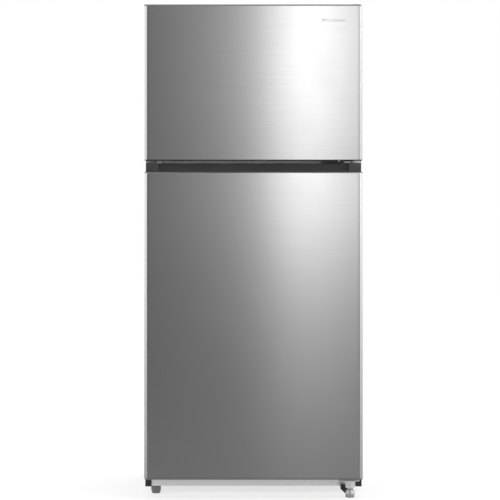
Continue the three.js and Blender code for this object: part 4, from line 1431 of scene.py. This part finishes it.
@dataclass
class MachineBay:
    """What the machine bay holds: the compressor, its pipes and the drip pan."""

    body: str = "cabinet"

    def build(self) -> None:
        """Builds the machine bay."""
        self.compressor()
        self.pipes()
        self.pan()
        carry("compressor_relay_cover", BLACK, 4 * MM)

    def compressor(self) -> None:
        """The pot with its welded seam, its foot plate and four grommets."""
        node = "compressor"
        axis = Vector((-0.12, 0.25, 0.042))
        outline = [
            (30 * MM, 14 * MM), (48 * MM, 15 * MM), (62 * MM, 24 * MM), (70 * MM, 36 * MM),
            (73 * MM, 52 * MM), (73 * MM, 84 * MM), (75 * MM, 86 * MM), (75 * MM, 93 * MM),
            (72.5 * MM, 95 * MM), (72 * MM, 108 * MM), (67 * MM, 124 * MM), (56 * MM, 137 * MM),
            (38 * MM, 146 * MM), (18 * MM, 149.5 * MM),
        ]
        pot = Shape.turned("compressor_pot", axis, Side.TOP, outline, sides=72)
        pot.dressed(POT_PAINT.material(), self.body, "compressor_paint", [node], angle=50)
        plate_box = Box(about(axis.x, 88 * MM), about(axis.y, 44 * MM), (axis.z + 10 * MM, axis.z + 15 * MM))
        plate = Shape.box("compressor_foot_plate", plate_box)
        plate.rounded(upright, 14 * MM, 5)
        plate.rounded(edges_at(z=plate_box.z[1]), 1.5 * MM, 2)
        plate.dressed(POT_PAINT.material(), self.body, "compressor_paint")
        corner = Vector((axis.x - 76 * MM, axis.y - 34 * MM, axis.z))
        rings = [
            (9 * MM, -3 * MM), (10 * MM, -2 * MM), (10 * MM, 3 * MM), (8 * MM, 4.5 * MM), (10 * MM, 6 * MM),
            (10 * MM, 9.5 * MM),
        ]
        grommets = Shape.turned("compressor_grommets", corner, Side.TOP, rings, sides=28)
        offsets = [(152 * MM, 0, 0), (0, 68 * MM, 0), (152 * MM, 68 * MM, 0)]
        grommets.copied(offsets)
        grommets.dressed(RUBBER.material(), self.body, "black_rubber")
        bolts = [Vector(corner) + Vector((dx, dy, 15 * MM)) for dx in (0, 0.152) for dy in (0, 0.068)]
        HexBolts().build("compressor_bolts", bolts, Side.TOP, self.body)

    def pipes(self) -> None:
        """The suction pipe with its drier, and the discharge pipe."""
        box = Box.of("refrigerant_pipe")
        x, y, z = box.x[0], box.y[0] + 3.7 * MM, box.z[0] + 4 * MM
        rise = box.x[1] - 9 * MM
        deep = box.y[1] - 9 * MM
        route = [(x - 22 * MM, y, z), (rise, y, z), (rise, deep, z + 40 * MM), (rise, deep, box.z[1])]
        suction = Shape.pipe("suction_pipe", route, 3.4 * MM, 26 * MM)
        suction.dressed(COPPER.material(), self.body, "copper", ["refrigerant_pipe"])
        drier_foot = Vector((rise, deep, z + 82 * MM))
        barrel = [
            (4 * MM, -4 * MM), (8.6 * MM, 2 * MM), (9 * MM, 6 * MM), (9 * MM, 36 * MM),
            (8.6 * MM, 40 * MM), (4 * MM, 46 * MM),
        ]
        drier = Shape.turned("filter_drier", drier_foot, Side.TOP, barrel, sides=32)
        drier.dressed(COPPER.material(), self.body, "copper", angle=50)
        pan = Box.of("drip_pan")
        level = pan.z[0] + 20 * MM
        loop = [
            (-0.06, 0.205, 0.1), (0.02, 0.2, 0.12), (0.045, 0.2, 0.12), (0.085, 0.2, 0.11),
            (0.09, 0.2, level), (0.27, 0.2, level), (0.27, 0.235, level), (0.1, 0.235, level),
            (0.1, 0.27, level), (0.27, 0.27, level), (0.27, 0.3, level), (0.28, 0.3, 0.115),
            (0.33, 0.31, 0.12), (0.33, 0.32, 0.27),
        ]
        discharge = Shape.pipe("discharge_pipe", loop, 2.4 * MM, 14 * MM)
        discharge.dressed(COPPER.material(), self.body, "copper")

    def pan(self) -> None:
        """The drip pan over the hot pipes."""
        Tray(wall=2.4 * MM, corner=12 * MM, draft=0.96).build(
            "meltwater_pan", Box.of("drip_pan"), BLACK, self.body, "black_plastic", ["drip_pan"]
        )


# ---- studio -----------------------------------------------------------------------------

# The light card's brightness across it and up it, as (place, level) from 0 to 1.
CARD_ACROSS = (
    (0.27, 0.0), (0.418, 0.125), (0.516, 0.25), (0.565, 0.9), (0.615, 1.0), (0.664, 0.77),
    (0.729, 0.48), (1.0, 0.22),
)
CARD_UP = (
    (0.0, 0.03), (0.18, 0.14), (0.36, 0.23), (0.45, 0.34), (0.525, 0.98), (0.62, 1.0),
    (0.76, 0.93), (1.0, 0.93),
)


@dataclass
class Studio:
    """The camera, floor, world and lights."""

    eye: tuple[float, float, float] = (-0.012, -6.368, 0.8536)
    lens: float = 126.1
    floor_size: float = 60.0
    floor_shade: float = 0.3
    floor_glow: float = 2.3
    floor_mirrored: float = 0.066
    card_distance: float = 2.1
    card_size: Span = (2.2, 2.6)
    card_power: float = 2.45
    card_base: float = 0.145
    room_front: float = 0.23
    room_sides: float = 1.5
    room_fade: Span = (-0.985, -0.9)

    def build(self) -> None:
        """Builds the whole studio."""
        self.camera()
        self.floor()
        self.world()
        self.card()
        self.light("key", (3.4, -3.0, 3.6), (2.2, 2.2), 45, aim=(0, 0, 0.9))
        self.light("back", (0.5, 4.4, 3.4), (3.0, 2.0), 60, aim=(0, 0.3, 0.9))

    def camera(self) -> None:
        """The camera, level with the middle of the doors."""
        data = bpy.data.cameras.new("camera")
        data.lens = self.lens
        camera = bpy.data.objects.new("camera", data)
        camera.location = self.eye
        camera.rotation_euler = (math.radians(90), 0, 0)
        bpy.context.scene.collection.objects.link(camera)
        bpy.context.scene.camera = camera

    def floor(self) -> None:
        """A plain pale floor, mirrored darker by the doors."""
        plane = self._plane("floor", self.floor_size)
        made = bpy.data.materials.new("floor_pale")
        made.use_nodes = True
        tree = made.node_tree
        shader = tree.nodes["Principled BSDF"]
        shader.inputs["Roughness"].default_value = 0.9
        shader.inputs["Specular IOR Level"].default_value = 0.1
        mix = tree.nodes.new("ShaderNodeMix")
        mix.data_type = "RGBA"
        mix.inputs[6].default_value = (*[self.floor_shade] * 3, 1)
        mix.inputs[7].default_value = (*[self.floor_mirrored] * 3, 1)
        ray = tree.nodes.new("ShaderNodeLightPath")
        tree.links.new(ray.outputs["Is Glossy Ray"], mix.inputs["Factor"])
        tree.links.new(mix.outputs[2], shader.inputs["Base Color"])
        tree.links.new(mix.outputs[2], shader.inputs["Emission Color"])
        shader.inputs["Emission Strength"].default_value = self.floor_glow
        plane.data.materials.append(made)

    def card(self) -> None:
        """A graduated light card that only the shiny parts see: it draws the band on the doors."""
        plane = self._plane("light_card", 1.0)
        plane.rotation_euler = (math.radians(90), 0, 0)
        plane.scale = (self.card_size[0], self.card_size[1], 1)
        plane.location = (0, -self.card_distance, self.card_size[1] / 2)
        plane.visible_camera = plane.visible_diffuse = plane.visible_shadow = False
        plane.visible_transmission = False
        made = bpy.data.materials.new("light_card")
        made.use_nodes = True
        tree = made.node_tree
        tree.nodes.clear()
        split = tree.nodes.new("ShaderNodeSeparateXYZ")
        place = tree.nodes.new("ShaderNodeTexCoord")
        tree.links.new(place.outputs["Object"], split.inputs["Vector"])
        across = self._ramp(tree, split.outputs["X"], CARD_ACROSS)
        up = self._ramp(tree, split.outputs["Y"], CARD_UP)
        glow = tree.nodes.new("ShaderNodeEmission")
        shape = math_node(tree, "MULTIPLY", across, up)
        power = math_node(tree, "MULTIPLY_ADD", shape, self.card_power, self.card_base)
        tree.links.new(power, glow.inputs["Strength"])
        out = tree.nodes.new("ShaderNodeOutputMaterial")
        tree.links.new(glow.outputs["Emission"], out.inputs["Surface"])
        plane.data.materials.append(made)

    @staticmethod
    def _plane(name: str, size: float) -> bpy.types.Object:
        """A stage plane at the origin."""
        bpy.ops.object.select_all(action="DESELECT")
        bpy.ops.mesh.primitive_plane_add(size=size)
        plane = bpy.context.object
        plane.name = name
        return plane

    @staticmethod
    def _ramp(
        tree: bpy.types.NodeTree, value: bpy.types.NodeSocket, stops: Sequence[Span]
    ) -> bpy.types.NodeSocket:
        """A smooth curve through stops, from an object coordinate between -0.5 and 0.5."""
        shifted = math_node(tree, "ADD", value, 0.5)
        node = tree.nodes.new("ShaderNodeValToRGB")
        ramp = node.color_ramp
        ramp.interpolation = "B_SPLINE"
        while len(ramp.elements) < len(stops):
            ramp.elements.new(0.5)
        for element, (place, level) in zip(ramp.elements, stops):
            element.position = place
            element.color = (level, level, level, 1)
        tree.links.new(shifted, node.inputs["Fac"])
        return node.outputs["Color"]

    def world(self) -> None:
        """White all round, but dim ahead of the doors in what shiny parts mirror."""
        world = bpy.data.worlds.new("studio")
        bpy.context.scene.world = world
        world.use_nodes = True
        tree = world.node_tree
        plain = tree.nodes["Background"]
        plain.inputs["Color"].default_value = (1, 1, 1, 1)
        place = tree.nodes.new("ShaderNodeTexCoord")
        split = tree.nodes.new("ShaderNodeSeparateXYZ")
        tree.links.new(place.outputs["Generated"], split.inputs["Vector"])
        level = math_node(tree, "MULTIPLY_ADD", split.outputs["Z"], split.outputs["Z"], -1.0001)
        length = math_node(tree, "SQRT", math_node(tree, "MULTIPLY", level, -1.0))
        ahead = math_node(tree, "DIVIDE", split.outputs["Y"], length)
        fade = tree.nodes.new("ShaderNodeMapRange")
        fade.interpolation_type = "SMOOTHSTEP"
        fade.inputs["From Min"].default_value, fade.inputs["From Max"].default_value = self.room_fade
        fade.inputs["To Min"].default_value = self.room_front
        fade.inputs["To Max"].default_value = self.room_sides
        tree.links.new(ahead, fade.inputs["Value"])
        mirrored = tree.nodes.new("ShaderNodeBackground")
        mirrored.inputs["Color"].default_value = (1, 1, 1, 1)
        tree.links.new(fade.outputs["Result"], mirrored.inputs["Strength"])
        ray = tree.nodes.new("ShaderNodeLightPath")
        mix = tree.nodes.new("ShaderNodeMixShader")
        tree.links.new(ray.outputs["Is Glossy Ray"], mix.inputs["Fac"])
        tree.links.new(plain.outputs["Background"], mix.inputs[1])
        tree.links.new(mirrored.outputs["Background"], mix.inputs[2])
        tree.links.new(mix.outputs["Shader"], tree.nodes["World Output"].inputs["Surface"])

    @staticmethod
    def light(
        name: str, place: tuple[float, float, float], size: Span, power: float,
        aim: tuple[float, float, float],
    ) -> None:
        """A soft rectangular light turned towards a point."""
        data = bpy.data.lights.new(name, "AREA")
        data.shape = "RECTANGLE"
        data.size, data.size_y = size
        data.energy = power
        lamp = bpy.data.objects.new(name, data)
        lamp.location = place
        lamp.rotation_euler = (Vector(aim) - Vector(place)).to_track_quat("-Z", "Y").to_euler()
        lamp.visible_camera = False
        bpy.context.scene.collection.objects.link(lamp)


def corners(pair: tuple[Vector, Vector]) -> list[list[float]]:
    """Two corners as plain lists of numbers."""
    return [list(corner) for corner in pair]


def main() -> None:
    """Loads the frame, and builds the refrigerator and its studio."""
    logging.basicConfig(level=logging.INFO, format="%(name)s: %(message)s")
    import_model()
    scene = bpy.context.scene
    scene.view_settings.view_transform = "Standard"
    Studio().build()
    for part in (FreezerDoor(), FridgeDoor(), Cabinet(), Inside(), MachineBay()):
        log.info("building %s", type(part).__name__)
        part.build()


if __name__ == "__main__":
    main()
